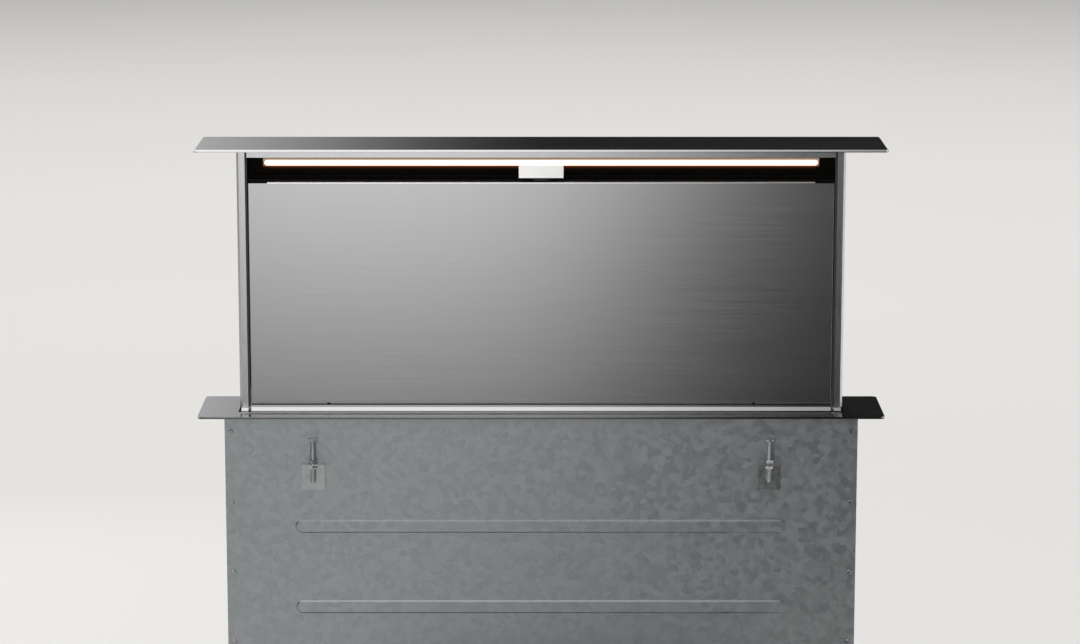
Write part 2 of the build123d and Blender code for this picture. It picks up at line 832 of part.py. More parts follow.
def make_shaft():
    """The cross shaft that turns both belts together."""
    end = belt_x + shaft_end
    return rod_x(-end, end, 0, shaft_z, shaft_radius)


def make_shaft_bearings():
    """The bearing block at each end of the shaft, standing on the casing's base."""
    x1 = belt_x - belt_width / 2 - belt_gap - pulley_flange - bearing_set_in
    x0 = x1 - bearing_length
    half = bearing_width / 2
    body = block(x0, x1, -half, half, casing_bottom + sheet, shaft_z)
    body += rod_x(x0, x1, 0, shaft_z, half)
    return both_ends(body - rod_x(x0, x1, 0, shaft_z, shaft_radius + running_fit))


def make_lift_gearbox():
    """The worm gearbox that the shaft passes through."""
    half = gearbox_length / 2
    half_y = gearbox_width / 2
    body = block(
        gearbox_x - half, gearbox_x + half, -half_y, half_y, casing_bottom + sheet, shaft_z + gearbox_top
    )
    return body - rod_x(gearbox_x - half, gearbox_x + half, 0, shaft_z, shaft_radius + running_fit)


def make_lift_motor():
    """The upright motor on the gearbox."""
    z0 = shaft_z + gearbox_top
    body = rod_z(gearbox_x, 0, z0, z0 + lift_motor_length, lift_motor_radius)
    return chamfer(body.edges().sort_by(Axis.Z)[-1], lift_motor_radius / 8)


def make_limit_switches():
    """A switch near each end of the lift's travel, on the casing's rear sheet."""
    y0 = casing_back_y - switch_depth
    body = block(switch_x, switch_x + switch_width, y0, casing_back_y, 0, switch_height)
    notch = block(
        switch_x,
        switch_x + switch_width,
        y0,
        y0 + switch_depth / 2,
        switch_height - switch_notch,
        switch_height,
    )
    upper_z = carriage_bottom - switch_height
    return [Pos(0, 0, z) * (body - notch) for z in (upper_z, upper_z - lift_travel)]


def make_worktop_clamps():
    """Four brackets with jacking screws that pull the flange down."""
    half = worktop_clamp_width / 2
    pad_top = flange_bottom - worktop_thickness
    arm_z = pad_top - worktop_clamp_drop / 2
    y0 = casing_outer_y
    leg = block(
        worktop_clamp_x - half,
        worktop_clamp_x + half,
        y0,
        y0 + worktop_clamp_plate,
        arm_z - worktop_clamp_drop / 2,
        arm_z,
    )
    arm = block(
        worktop_clamp_x - half,
        worktop_clamp_x + half,
        y0,
        y0 + worktop_clamp_reach,
        arm_z,
        arm_z + worktop_clamp_plate,
    )
    screw_y = y0 + worktop_clamp_reach - clamp_pad_radius
    screw = rod_z(worktop_clamp_x, screw_y, arm_z - worktop_clamp_drop / 3, pad_top, clamp_screw_radius)
    pad = rod_z(worktop_clamp_x, screw_y, pad_top - worktop_clamp_plate, pad_top, clamp_pad_radius)
    clamp = leg + arm + screw + pad
    pair = [clamp, mirror(clamp, about=Plane.XZ)]
    return pair + [mirrored(piece) for piece in pair]


# ---------------------------------------------------------------- fan box
def volute(grow):
    """The space inside the scroll and its outlet in X and Z, grown by a sheet's thickness."""
    half = scroll_step / 2
    right_radius = scroll_radius + grow
    left_radius = scroll_radius + scroll_step + grow
    top_radius = scroll_radius + 2 * scroll_step + grow
    low = (fan_x - half, fan_z - half)
    high = (fan_x - half, fan_z + half)
    last = (fan_x + half, fan_z + half)
    tongue = (low[0] + scroll_radius + tongue_radius, low[1])
    small = tongue_radius - grow
    wall_x = fan_box_right - sheet
    lines = [
        RadiusArc((tongue[0], tongue[1] + small), (tongue[0] - small, tongue[1]), -small),
        RadiusArc((low[0] + right_radius, low[1]), (low[0], low[1] - right_radius), right_radius),
        RadiusArc((high[0], high[1] - left_radius), (high[0] - left_radius, high[1]), left_radius),
        RadiusArc((last[0] - top_radius, last[1]), (last[0], last[1] + top_radius), top_radius),
        Polyline(
            (last[0], last[1] + top_radius),
            (wall_x, last[1] + top_radius),
            (wall_x, tongue[1] + small),
            (tongue[0], tongue[1] + small),
        ),
    ]
    return make_face(lines)


def make_fan_box_shell():
    """The sheet box round the fan, open at its front, with holes for the inlet and the duct."""
    box = shell(
        fan_box_left, fan_box_right, fan_box_front, fan_box_back, fan_box_bottom, fan_box_top, sheet
    )
    box -= rod_y(fan_x, fan_back, fan_box_back, fan_z, inlet_radius)
    return box - rod_x(fan_box_right - sheet, fan_box_right, duct_y, duct_z, spigot_bore)


def make_fan_box_cover():
    """The sheet inside the box's rim that carries the motor, with a ring pressed in round it."""
    outer = fan_front - sheet
    cover = block(
        fan_box_left + sheet,
        fan_box_right - sheet,
        outer,
        fan_front,
        fan_box_bottom + sheet,
        fan_box_top - sheet,
    )
    step = fan_front + cover_dish_depth
    cover += rod_y(fan_x, fan_front, step, fan_z, cover_dish_radius + sheet)
    cover -= rod_y(fan_x, fan_front, step, fan_z, cover_land_radius - sheet)
    dish = rod_y(fan_x, outer, step - sheet, fan_z, cover_dish_radius)
    return cover - (dish - rod_y(fan_x, outer, step - sheet, fan_z, cover_land_radius))


def make_fan_scroll():
    """The spiral band that leads the air round the wheel and out to the duct."""
    return along_y(volute(sheet) - volute(0), fan_front, fan_back)


def make_inlet_ring():
    """The flanged ring that leads the air into the wheel's eye."""
    flange = rod_y(fan_x, fan_back - sheet, fan_back, fan_z, inlet_radius + inlet_flange)
    throat = rod_y(fan_x, fan_back - inlet_ring_length, fan_back, fan_z, inlet_radius + sheet)
    return flange + throat - rod_y(fan_x, fan_back - inlet_ring_length, fan_back, fan_z, inlet_radius)


def polar(radius, degrees):
    angle = math.radians(degrees)
    return radius * math.cos(angle), radius * math.sin(angle)


def make_impeller():
    """The fan wheel: a plate with a hub, forward-curved blades and a ring round the eye."""
    eye = impeller_radius - blade_depth
    edge = impeller_plate / 3
    radii = (eye + edge, impeller_radius - blade_depth / 2, impeller_radius - edge)
    lean = (0.0, 2.2, 8.0)
    inner = [polar(r, a) for r, a in zip(radii, lean)]
    outer = [polar(r, a + blade_thickness_angle) for r, a in zip(radii, lean)]
    blade_face = make_face(
        [
            ThreePointArc(*inner),
            Line(inner[2], outer[2]),
            ThreePointArc(*outer),
            Line(outer[0], inner[0]),
        ]
    )
    blade = extrude(blade_face, amount=impeller_width)
    plate = extrude(Circle(impeller_radius), amount=impeller_plate)
    hub = extrude(Circle(hub_radius), amount=impeller_width / 2)
    ring_face = Circle(impeller_radius) - Circle(eye)
    ring = Pos(0, 0, impeller_width - impeller_plate) * extrude(ring_face, amount=impeller_plate)
    blades = [Rot(0, 0, i * 360 / blade_count) * blade for i in range(blade_count)]
    wheel = plate + hub + ring + blades
    wheel -= extrude(Circle(fan_shaft_radius + push_fit), amount=impeller_width / 2)
    return Pos(fan_x, impeller_front, fan_z) * Rot(-90, 0, 0) * wheel


def make_fan_shaft():
    """The motor's shaft, which carries the wheel."""
    return rod_y(
        fan_x, fan_motor_end - fan_motor_gap, impeller_front + impeller_width / 2, fan_z, fan_shaft_radius
    )


def make_fan_motor():
    """The fan's motor, fixed to the box's cover."""
    shoulder = fan_motor_end - fan_motor_gap
    body = rod_y(fan_x, fan_front, shoulder, fan_z, fan_motor_radius)
    body += rod_y(fan_x, shoulder, fan_motor_end, fan_z, fan_motor_boss)
    bore_depth = 2 * fan_motor_gap
    return body - rod_y(
        fan_x, fan_motor_end - bore_depth, fan_motor_end, fan_z, fan_shaft_radius + running_fit
    )


def make_fan_box_feet():
    """Rubber feet that stand the fan box on the floor."""
    return [
        rod_z(x, y, floor, fan_box_bottom, rubber_foot_radius)
        for x in (fan_box_left + rubber_foot_inset, fan_box_right - rubber_foot_inset)
        for y in (fan_box_front + rubber_foot_inset, fan_box_back - rubber_foot_inset)
    ]


def make_duct_spigot():
    """The round collar that the duct slides over, from the face of its ring."""
    start = fan_box_right + sheet
    end = fan_box_right + spigot_length
    collar = rod_x(start, end, duct_y, duct_z, duct_radius)
    collar -= rod_x(start, end, duct_y, duct_z, spigot_bore)
    return collar - rod_z(
        damper_x, duct_y, duct_z - duct_radius, duct_z + duct_radius, damper_pin_radius + push_fit
    )


def make_spigot_flange():
    """The ring that fixes the collar to the fan box's wall."""
    end = fan_box_right + sheet
    ring = rod_x(fan_box_right, end, duct_y, duct_z, duct_radius + spigot_flange)
    return ring - rod_x(fan_box_right, end, duct_y, duct_z, spigot_bore)


def make_damper_pin():
    """The upright pin across the collar that both flaps hang on."""
    half = (duct_radius + spigot_bore) / 2
    return rod_z(damper_x, duct_y, duct_z - half, duct_z + half, damper_pin_radius)


def make_damper_flap():
    """The rear flap: half a disc on a sleeve, which hangs on the lower half of the pin."""
    radius = spigot_bore - damper_gap
    sleeve_radius = damper_pin_radius + running_fit + damper_sleeve
    hem = duct_y + sleeve_radius + damper_gap / 2
    half = damper_plate / 2
    z1 = duct_z - damper_gap / 2
    z0 = z1 - damper_sleeve_length
    disc = rod_x(damper_x - half, damper_x + half, duct_y, duct_z, radius)
    flap = disc - block(
        damper_x - half, damper_x + half, duct_y - radius, hem, duct_z - radius, duct_z + radius
    )
    flap += block(damper_x - half, damper_x + half, duct_y, hem + damper_plate, z0, z1)
    flap += rod_z(damper_x, duct_y, z0, z1, sleeve_radius)
    return flap - rod_z(damper_x, duct_y, z0, z1, damper_pin_radius + running_fit)


def half_turn(shape):
    """The front flap is the rear one, turned half a turn about the duct's axis."""
    return Pos(0, duct_y, duct_z) * Rot(180, 0, 0) * Pos(0, -duct_y, -duct_z) * shape


# ---------------------------------------------------------------- control box
def make_control_box():
    """The box of electronics on the casing's front sheet, with the hole for the mains gland."""
    box = shell(
        control_left, control_right, control_front, fan_box_back, control_bottom, control_top, control_wall
    )
    return box - rod_z(
        gland_x(), gland_y(), control_bottom, control_bottom + control_wall, inlet_gland_radius / 2
    )


def gland_x():
    return control_left + control_width / 4


def gland_y():
    return (control_front + fan_box_back) / 2


def make_control_lid():
    """The lid of the box of electronics, with its air slots."""
    outer = control_front - control_wall
    lid = block(control_left, control_right, outer, control_front, control_bottom, control_top)
    middle = (control_left + control_right) / 2
    slot = Pos(middle, control_top - vent_drop) * SlotOverall(vent_length, vent_width)
    cut = along_y(slot, outer, control_front)
    return lid - [Pos(0, 0, -i * vent_pitch) * cut for i in range(vent_count)]


def make_main_board():
    """The circuit board on its spacers, with its relays and its transformer."""
    x0 = control_left + board_margin
    x1 = control_right - board_margin
    z0 = control_bottom + board_margin
    z1 = control_top - board_margin
    wall_y = fan_box_back - control_wall
    rear = wall_y - board_gap
    near = rear - board_thickness
    spacers = [
        rod_y(x, rear, wall_y, z, spacer_radius)
        for x in (x0 + board_margin, x1 - board_margin)
        for z in (z0 + board_margin, z1 - board_margin)
    ]
    relays = [
        block(x0, x0 + relay_size, near - relay_size, near, z, z + relay_size)
        for z in [z0 + 2 * board_margin + i * relay_pitch for i in range(relay_count)]
    ]
    transformer = block(
        x1 - transformer_size,
        x1,
        near - transformer_height,
        near,
        z1 - 2 * board_margin - transformer_size,
        z1 - 2 * board_margin,
    )
    return block(x0, x1, near, rear, z0, z1) + spacers + relays + transformer


def make_mains_inlet():
    """The gland that the mains lead would enter by."""
    z1 = control_bottom
    body = extrude(
        Pos(gland_x(), gland_y(), z1) * RegularPolygon(inlet_gland_radius, 6), amount=-inlet_gland_length / 3
    )
    body += rod_z(gland_x(), gland_y(), z1 - inlet_gland_length, z1, inlet_gland_radius * 0.75)
    body += rod_z(gland_x(), gland_y(), z1, z1 + control_wall, inlet_gland_radius / 2 - push_fit)
    return body - rod_z(
        gland_x(), gland_y(), z1 - inlet_gland_length, z1 + control_wall, inlet_gland_bore
    )


# ---------------------------------------------------------------- the vent
filter_frames, filter_meshes = make_filters()
upright = make_upright()
casing_side = make_casing_side()
idler = pulley(idler_z, idler_pin_radius + running_fit)
drive_pulley = pulley(shaft_z, shaft_radius + push_fit)
damper_flap = make_damper_flap()

nodes = {
    "flange_plate": [make_flange_plate()],
    "flange_seal": [make_flange_seal()],
    "casing_front": [make_casing_front()],
    "casing_back": make_casing_back(),
    "casing_sides": both_ends(casing_side),
    "casing_base": [make_casing_base()],
    "foot_brackets": make_foot_brackets(),
    "guide_rails": make_guide_rails(),
    "drive_belts": make_belts(),
    "shaft_bearings": make_shaft_bearings(),
    "idler_brackets": make_idler_brackets(),
    "lift_gearbox": [make_lift_gearbox()],
    "lift_motor": [make_lift_motor()],
    "limit_switches": make_limit_switches(),
    "worktop_clamps": make_worktop_clamps(),
    "fan_box_shell": [make_fan_box_shell()],
    "fan_box_cover": [make_fan_box_cover()],
    "fan_box_feet": make_fan_box_feet(),
    "fan_scroll": [make_fan_scroll()],
    "fan_inlet_ring": [make_inlet_ring()],
    "fan_motor": [make_fan_motor()],
    "duct_spigot": [make_duct_spigot()],
    "spigot_flange": [make_spigot_flange()],
    "damper_pin": [make_damper_pin()],
    "control_box": [make_control_box()],
    "control_box_lid": [make_control_lid()],
    "main_board": [make_main_board()],
    "mains_inlet": [make_mains_inlet()],
    "drive_shaft": [make_shaft()],
    "drive_pulleys": both_ends(drive_pulley),
    "idler_left": [mirrored(idler)],
    "idler_right": [idler],
    "impeller": [make_impeller()],
    "fan_shaft": [make_fan_shaft()],
    "damper_flap_front": [half_turn(damper_flap)],
    "damper_flap_back": [damper_flap],
    "lid_plate": [make_lid_plate()],
    "lid_buffers": make_lid_buffers(),
    "head_rail": [make_head_rail()],
    "upright_left": [mirrored(upright)],
    "upright_right": [upright],
    "tower_back_panel": [make_back_panel()],
    "front_skirt": [make_front_skirt()],
    "sill": make_sill(),
    "front_panel": [make_front_panel()],
    "lamp_carrier": [make_lamp_carrier()],
    "lamp_diffuser": [make_diffuser()],
    "lamp_board": [make_led_board()],
    "touch_board": [make_touch_board()],
    "intake_baffle": [make_intake_baffle()],
    "filter_frames": filter_frames,
    "filter_meshes": filter_meshes,
    "filter_rail": [make_filter_rail()],
    "catch_tab": [make_catch_tab()],
    "catch_slider": [make_catch_slider()],
    "catch_guides": make_catch_guides(),
    "carriage_plates": make_carriage_plates(),
    "carriage_beam": [make_carriage_beam()],
    "carriage_gliders": make_gliders(),
    "belt_clamps": make_belt_clamps(),
}

os.makedirs("parts", exist_ok=True)
for name, shapes in nodes.items():
    solids = [solid.moved(on_floor) for shape in shapes for solid in shape.solids()]
    whole = solids[0] if len(solids) == 1 else Compound(solids)
    export_step(whole, f"parts/{name}.step")
print(len(nodes), "nodes")
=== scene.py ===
# %% [markdown]
# A rising downdraft vent. A slim steel tower with a flat lid stands in a slot of a flange, and the casing,
# belt lift, fan box and duct outlet hang below it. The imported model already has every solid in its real
# place, so this script gives it finishes, small fasteners, light and a camera. Lengths are in metres, Z is
# up and the front is -Y.

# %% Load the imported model
import bpy
import math
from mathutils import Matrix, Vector


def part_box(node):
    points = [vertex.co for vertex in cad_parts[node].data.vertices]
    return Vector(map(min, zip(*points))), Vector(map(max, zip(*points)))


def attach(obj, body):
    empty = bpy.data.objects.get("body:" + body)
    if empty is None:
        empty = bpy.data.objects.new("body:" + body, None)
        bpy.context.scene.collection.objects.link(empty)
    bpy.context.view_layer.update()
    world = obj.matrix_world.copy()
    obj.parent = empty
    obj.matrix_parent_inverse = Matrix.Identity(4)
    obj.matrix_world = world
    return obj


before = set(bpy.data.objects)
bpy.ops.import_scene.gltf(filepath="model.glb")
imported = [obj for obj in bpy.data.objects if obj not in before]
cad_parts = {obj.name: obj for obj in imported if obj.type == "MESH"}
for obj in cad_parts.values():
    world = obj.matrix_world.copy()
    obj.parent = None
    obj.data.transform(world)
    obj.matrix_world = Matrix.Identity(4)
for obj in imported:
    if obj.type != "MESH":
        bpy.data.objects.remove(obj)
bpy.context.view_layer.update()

MM = 0.001

# %% [markdown]
# The camera comes first, because every later choice is judged through it. The lines that run into the depth
# of the picture meet far above it, and the uprights stay parallel, so the lens is long and stands about
# 4.5 m away, a metre above the flange. A camera that is tipped down a little gives nearly the same picture
# without any shift.

# %% Camera
scene = bpy.context.scene
picture = (1080, 644)


def place_camera(name, eye, pitch_degrees, lens_mm):
    """A camera that looks along +Y, tipped down by pitch_degrees, with a sensor 36 mm wide."""
    camera = bpy.data.objects.new(name, bpy.data.cameras.new(name))
    scene.collection.objects.link(camera)
    camera.location = eye
    camera.rotation_euler = (math.radians(90 - pitch_degrees), 0, 0)
    camera.data.lens = lens_mm
    camera.data.sensor_width = 36.0
    camera.data.clip_end = 200.0
    scene.camera = camera
    return camera


camera = place_camera("camera", (-0.0015, -4.402, 1.7276), 11.0865, 115.22)


def pixel(point):
    """Where a point lands in the picture, in its own pixels from the top left corner."""
    p = camera.matrix_basis.inverted() @ Vector(point)
    focal = camera.data.lens / camera.data.sensor_width * picture[0]
    return picture[0] / 2 - p.x / p.z * focal, picture[1] / 2 + p.y / p.z * focal


# Corners of three nodes' boxes: 0 takes the lowest and 1 the highest value along X, Y and Z.
for node, corners in {
    "lid_plate": [(0, 0, 1), (1, 0, 0), (1, 1, 1)],
    "front_panel": [(0, 0, 1), (1, 0, 0)],
    "flange_plate": [(0, 0, 1), (1, 1, 1)],
}.items():
    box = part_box(node)
    for corner in corners:
        point = [box[end][axis] for axis, end in enumerate(corner)]
        print(node, corner, "is at pixel", [round(v, 1) for v in pixel(point)])

# %% [markdown]
# Every finish below is a tree of shader nodes. Colours are written as they look on a screen, in sRGB, and
# turned to the linear values that light is reckoned in. One helper adds any node with its settings, values
# and links, so that each tree reads from top to bottom as the recipe that it is.

# %% Colours


def linear(hex_colour):
    """An sRGB hex colour as linear RGBA."""
    values = [int(hex_colour[i:i + 2], 16) / 255 for i in (1, 3, 5)]
    return (*[v / 12.92 if v <= 0.04045 else ((v + 0.055) / 1.055) ** 2.4 for v in values], 1.0)


# %% The node helper


def add(tree, kind, links=None, inputs=None, **settings):
    """Adds a node with its settings, its inputs' values, and its links, one or several to an input."""
    node = tree.nodes.new(kind)
    for key, value in settings.items():
        setattr(node, key, value)
    for key, value in (inputs or {}).items():
        node.inputs[key].default_value = value
    for key, sockets in (links or {}).items():
        for socket in sockets if isinstance(sockets, list) else [sockets]:
            tree.links.new(socket, node.inputs[key])
    return node


def new_material(name):
    """An empty node material, its tree and its output."""
    material = bpy.data.materials.new(name)
    material.use_nodes = True
    tree = material.node_tree
    tree.nodes.clear()
    return material, tree, add(tree, "ShaderNodeOutputMaterial")


def shader_of(material):
    """The Principled shader of a finished material."""
    return next(node for node in material.node_tree.nodes if node.type == "BSDF_PRINCIPLED")


# %% [markdown]
# The floor is one large pale plane, which also fills the background, because the camera looks down on it.
# The light is soft: a tall lamp at the front left, one at the back left, a long one above, a small one at
# the right for the edges, and a large one overhead that reaches the floor behind. A metal shows what stands
# round it, so these lamps are what shades the steel from bright to dark. The last lamp only fills the floor
# in front, and no mirror sees it.

# %% Floor


def make_floor(half):
    """A pale matt studio floor with a trace of unevenness, twice half wide and long."""
    mesh = bpy.data.meshes.new("studio_floor")
    corners = [(-half, -half, 0), (half, -half, 0), (half, half, 0), (-half, half, 0)]
    mesh.from_pydata(corners, [], [(0, 1, 2, 3)])
    floor = bpy.data.objects.new("studio_floor", mesh)
    scene.collection.objects.link(floor)
    material, tree, output = new_material("matt_floor_paint")
    place = add(tree, "ShaderNodeTexCoord")
    cloudy = {"Scale": 0.6, "Detail": 2.0}
    cloud = add(tree, "ShaderNodeTexNoise", {"Vector": place.outputs["Object"]}, cloudy)
    tones = {"A": linear("#d9d7d4"), "B": linear("#dedcd9")}
    tone = add(tree, "ShaderNodeMix", {"Factor": cloud.outputs["Fac"]}, tones, data_type="RGBA")
    matt = {"Roughness": 0.9, "Specular IOR Level": 0.1}
    shader = add(tree, "ShaderNodeBsdfPrincipled", {"Base Color": tone.outputs["Result"]}, matt)
    tree.links.new(shader.outputs[0], output.inputs[0])
    mesh.materials.append(material)
    return floor


floor_half = 45.0
print(make_floor(floor_half).name, "reaches", floor_half, "m each way")

# %% Lamps and world


def soft_lamp(name, where, towards, size, radiance, across=None, upward=None, mirrored=True):
    """A rectangular lamp that faces a point, unseen itself. Its light fades in over across and upward."""
    data = bpy.data.lights.new(name, "AREA")
    data.shape = "RECTANGLE"
    data.size, data.size_y = size
    data.energy = radiance * math.pi * size[0] * size[1]
    if across or upward:
        data.use_nodes = True
        tree = data.node_tree
        tree.nodes.clear()
        face = add(tree, "ShaderNodeNewGeometry")
        split = add(tree, "ShaderNodeSeparateXYZ", {0: face.outputs["Parametric"]})
        ramps = []
        full = (-2.0, -1.0)  # the face runs from 0 to 1, so a span below 0 leaves it fully lit
        for axis, span in (("X", across or full), ("Y", upward or full)):
            ends = {"From Min": span[0], "From Max": span[1]}
            along = {"Value": split.outputs[axis]}
            ramp = add(tree, "ShaderNodeMapRange", along, ends, interpolation_type="SMOOTHSTEP")
            ramps.append(ramp.outputs["Result"])
        level = add(tree, "ShaderNodeMath", {0: ramps[0], 1: ramps[1]}, operation="MULTIPLY")
        glow = add(tree, "ShaderNodeEmission", {"Strength": level.outputs[0]})
        add(tree, "ShaderNodeOutputLight", {0: glow.outputs[0]})
    lamp = bpy.data.objects.new(name, data)
    scene.collection.objects.link(lamp)
    lamp.location = where
    lamp.rotation_euler = (Vector(where) - Vector(towards)).to_track_quat("Z", "Y").to_euler()
    lamp.visible_camera = False
    lamp.visible_glossy = mirrored
    return lamp


# Each has its place, the point it faces, its width and height, its radiance, and where its light fades in.
soft_lamp(
    "front_left_lamp", (0.03, -2.0, 1.65), (0.03, 0.0, 1.65), (1.74, 2.9), 1.57, (0.82, 0.42), (-0.075, 0.25)
)
soft_lamp("back_left_lamp", (-1.3, 2.6, 1.6), (-1.3, 0.1, 1.6), (2.6, 1.8), 0.72, (-0.02, 0.5))
soft_lamp("ceiling_lamp", (-0.7, -0.5, 3.2), (-0.7, -0.5, 0.0), (3.4, 1.4), 1.9, (-0.02, 0.36))
soft_lamp("right_fill_lamp", (2.6, 0.3, 0.9), (0.0, 0.3, 0.9), (1.6, 1.6), 0.55)
soft_lamp("overhead_lamp", (0.0, 6.0, 8.0), (0.0, 5.5, 0.0), (18.0, 12.0), 1.75)
soft_lamp("floor_fill_lamp", (0.0, -11.0, 9.0), (0.0, -11.0, 0.0), (30.0, 12.0), 0.6, mirrored=False)

world = bpy.data.worlds.new("studio")
scene.world = world
world.use_nodes = True
sky = world.node_tree.nodes["Background"]
sky.inputs["Color"].default_value = linear("#f4f5f8")
sky.inputs["Strength"].default_value = 0.22
scene.view_settings.view_transform = "Standard"

# %% [markdown]
# Polished metal shows its whole surroundings, and all round a pale studio it turns out flat. A photographer
# stands black cards just outside the picture, and the metal turns dark where it mirrors them. Here each
# card is a plane that only mirror rays meet, so it darkens no floor and casts no shadow. It is clear at its
# soft edges.

# %% Black cards


def black_card(name, middle, size, across, upward):
    """An upright card along X, clear at its rim: across and upward give where each side turns black."""
    mesh = bpy.data.meshes.new(name)
    half_x, half_z = size[0] / 2, size[1] / 2
    corners = [(-half_x, -half_z), (half_x, -half_z), (half_x, half_z), (-half_x, half_z)]
    mesh.from_pydata([(middle[0] + x, middle[1], middle[2] + z) for x, z in corners], [], [(0, 1, 2, 3)])
    card = bpy.data.objects.new(name, mesh)
    scene.collection.objects.link(card)
    material, tree, output = new_material(name)
    place = add(tree, "ShaderNodeTexCoord")
    split = add(tree, "ShaderNodeSeparateXYZ", {"Vector": place.outputs["Object"]})
    levels = []
    for axis, spans in (("X", across), ("Z", upward)):
        for clear, black in spans:
            ends = {"From Min": clear, "From Max": black}
            along = {"Value": split.outputs[axis]}
            ramp = add(tree, "ShaderNodeMapRange", along, ends, interpolation_type="SMOOTHSTEP")
            levels.append(ramp.outputs["Result"])
    level = levels[0]
    for other in levels[1:]:
        level = add(tree, "ShaderNodeMath", {0: level, 1: other}, operation="MULTIPLY").outputs[0]
    through = add(tree, "ShaderNodeBsdfTransparent")
    velvet = add(tree, "ShaderNodeBsdfDiffuse", inputs={"Color": linear("#060606")})
    mixed = add(tree, "ShaderNodeMixShader", {0: level, 1: through.outputs[0], 2: velvet.outputs[0]})
    tree.links.new(mixed.outputs[0], output.inputs[0])
    mesh.materials.append(material)
    card.visible_camera = card.visible_diffuse = card.visible_shadow = card.visible_transmission = False
    return card


# Each has its middle, its width and height, then where each of its four sides is clear and where black.
black_card("front_card", (0.6, -2.1, 0.9), (3.0, 2.6), [(-0.7, 0.35), (2.0, 1.4)], [(-0.4, 0.0), (2.1, 1.5)])
black_card("low_card", (0.0, -2.15, 0.5), (5.0, 1.6), [(-2.5, -1.6), (2.5, 1.6)], [(-0.2, -0.1), (1.2, 0.9)])
black_card("near_card", (0.6, -1.0, 0.2), (2.2, 0.6), [(-0.2, 0.35), (1.7, 1.3)], [(-0.1, 0.0), (0.5, 0.3)])
black_card("back_card", (0.6, 2.7, 2.0), (4.4, 2.8), [(-1.0, -0.1), (2.8, 2.0)], [(0.7, 1.0), (3.4, 2.8)])
black_card(
    "corner_card", (0.8, -1.9, 0.4), (1.8, 0.9), [(0.02, 0.45), (1.7, 1.3)], [(-0.05, 0.05), (0.82, 0.5)]
)

# %% [markdown]
# Most finishes here are one family: a base colour that wavers between two close tones, a roughness that
# wavers with it, and a low relief. What makes steel look brushed and paint look sprayed is only the shape
# and size of the grain, so one function builds them all from a grain size in millimetres along X, Y and Z.

# %% The grained finish
noise_span = (0.25, 0.75)  # nearly all values of a noise lie between these


def grained(name, tones, grain_mm, roughness, relief_mm=0.0, metallic=0.0, detail=2.0, **constants):
    """A finish whose colour, roughness and relief follow one grain of grain_mm = (x, y, z)."""
    material, tree, output = new_material(name)
    place = add(tree, "ShaderNodeTexCoord")
    stretch = add(tree, "ShaderNodeMapping", {"Vector": place.outputs["Object"]})
    stretch.inputs["Scale"].default_value = [1 / (size * MM) for size in grain_mm]
    noise = {"Scale": 1.0, "Detail": detail}
    grain = add(tree, "ShaderNodeTexNoise", {"Vector": stretch.outputs[0]}, noise)
    ends = {"A": linear(tones[0]), "B": linear(tones[1])}
    tone = add(tree, "ShaderNodeMix", {"Factor": grain.outputs["Fac"]}, ends, data_type="RGBA")
    spans = dict(zip(("From Min", "From Max", "To Min", "To Max"), (*noise_span, *roughness)))
    rough = add(tree, "ShaderNodeMapRange", {"Value": grain.outputs["Fac"]}, spans)
    shader = add(
        tree,
        "ShaderNodeBsdfPrincipled",
        {"Base Color": tone.outputs["Result"], "Roughness": rough.outputs["Result"]},
        inputs={"Metallic": metallic, **constants},
    )
    if relief_mm:
        depth = {"Distance": relief_mm * MM, "Strength": 1.0}
        bump = add(tree, "ShaderNodeBump", {"Height": grain.outputs["Fac"]}, depth)
        tree.links.new(bump.outputs[0], shader.inputs["Normal"])
    tree.links.new(shader.outputs[0], output.inputs[0])
    return material


# %% [markdown]
# The lid, the tower and the flange are austenitic stainless steel. The lid is brushed along its length,
# with streaks that can be seen; the large front panel is a finer satin; edges and uprights are nearly
# polished. The real lines are about 0.1 mm apart, finer than a pixel, so they are drawn 1 to 2 mm apart.

# %% Stainless steels
steel = {"metallic": 1.0}
# Brushed along X: what it mirrors is drawn out into long faint streaks.
lid_steel = grained(
    "brushed_stainless_lid", ("#a4a3a5", "#b2b1b3"), (320, 14, 2), (0.17, 0.20), detail=3.0, **steel
)
# Polished after brushing: nearly a mirror, bright or dark with what stands round it. Its tone is paler
# than the lid's steel, so its reflections come out brighter: a lit copy of that steel, painted light.
flange_steel = grained(
    "polished_stainless_flange", ("#b0afb1", "#bab9bb"), (200, 14, 2), (0.16, 0.19), detail=3.0, **steel
)
# Satin: an even sheen that fades softly from bright to dark, with lines only close by.
panel_steel = grained("satin_stainless_panel", ("#aeadae", "#b8b7b8"), (90, 1.5, 1.5), (0.23, 0.26), **steel)
# Satin on a narrow profile: a bright, blurred band.
rail_steel = grained("satin_stainless_rail", ("#bcbbbc", "#c8c7c8"), (60, 1.5, 1.5), (0.26, 0.30), **steel)
# The same, drawn upright: each face keeps one shade from top to bottom.
upright_steel = grained(
    "satin_stainless_upright", ("#bebdbe", "#c6c5c6"), (1.5, 1.5, 60), (0.26, 0.30), **steel
)
# A polished bar: its slope shows a sharp light line.
sill_steel = grained("polished_stainless_sill", ("#a3a2a3", "#acabac"), (60, 1.5, 1.5), (0.16, 0.20), **steel)
# Polished, and nearly white, paler than steel is: a painted highlight for the one bright spot in the black
# intake.
tab_steel = grained("polished_stainless_tab", ("#e4e3e2", "#ebeae9"), (30, 1.5, 1.5), (0.22, 0.26), **steel)
# Plain mill satin at the back: duller, with lines that catch the light.
rear_steel = grained(
    "satin_stainless_sheet", ("#a6a5a6", "#b4b3b4"), (70, 1.6, 1.6), (0.30, 0.38), 0.002, **steel
)
print("stainless steels:", sum("stainless" in one.name for one in bpy.data.materials))

# %% Other metals
# Zinc plate: bluish white, a soft shine with faint clouds.
zinc_plated = grained("bright_zinc_plated_steel", ("#b4b7b9", "#c6c8c9"), (6, 6, 6), (0.26, 0.36), **steel)
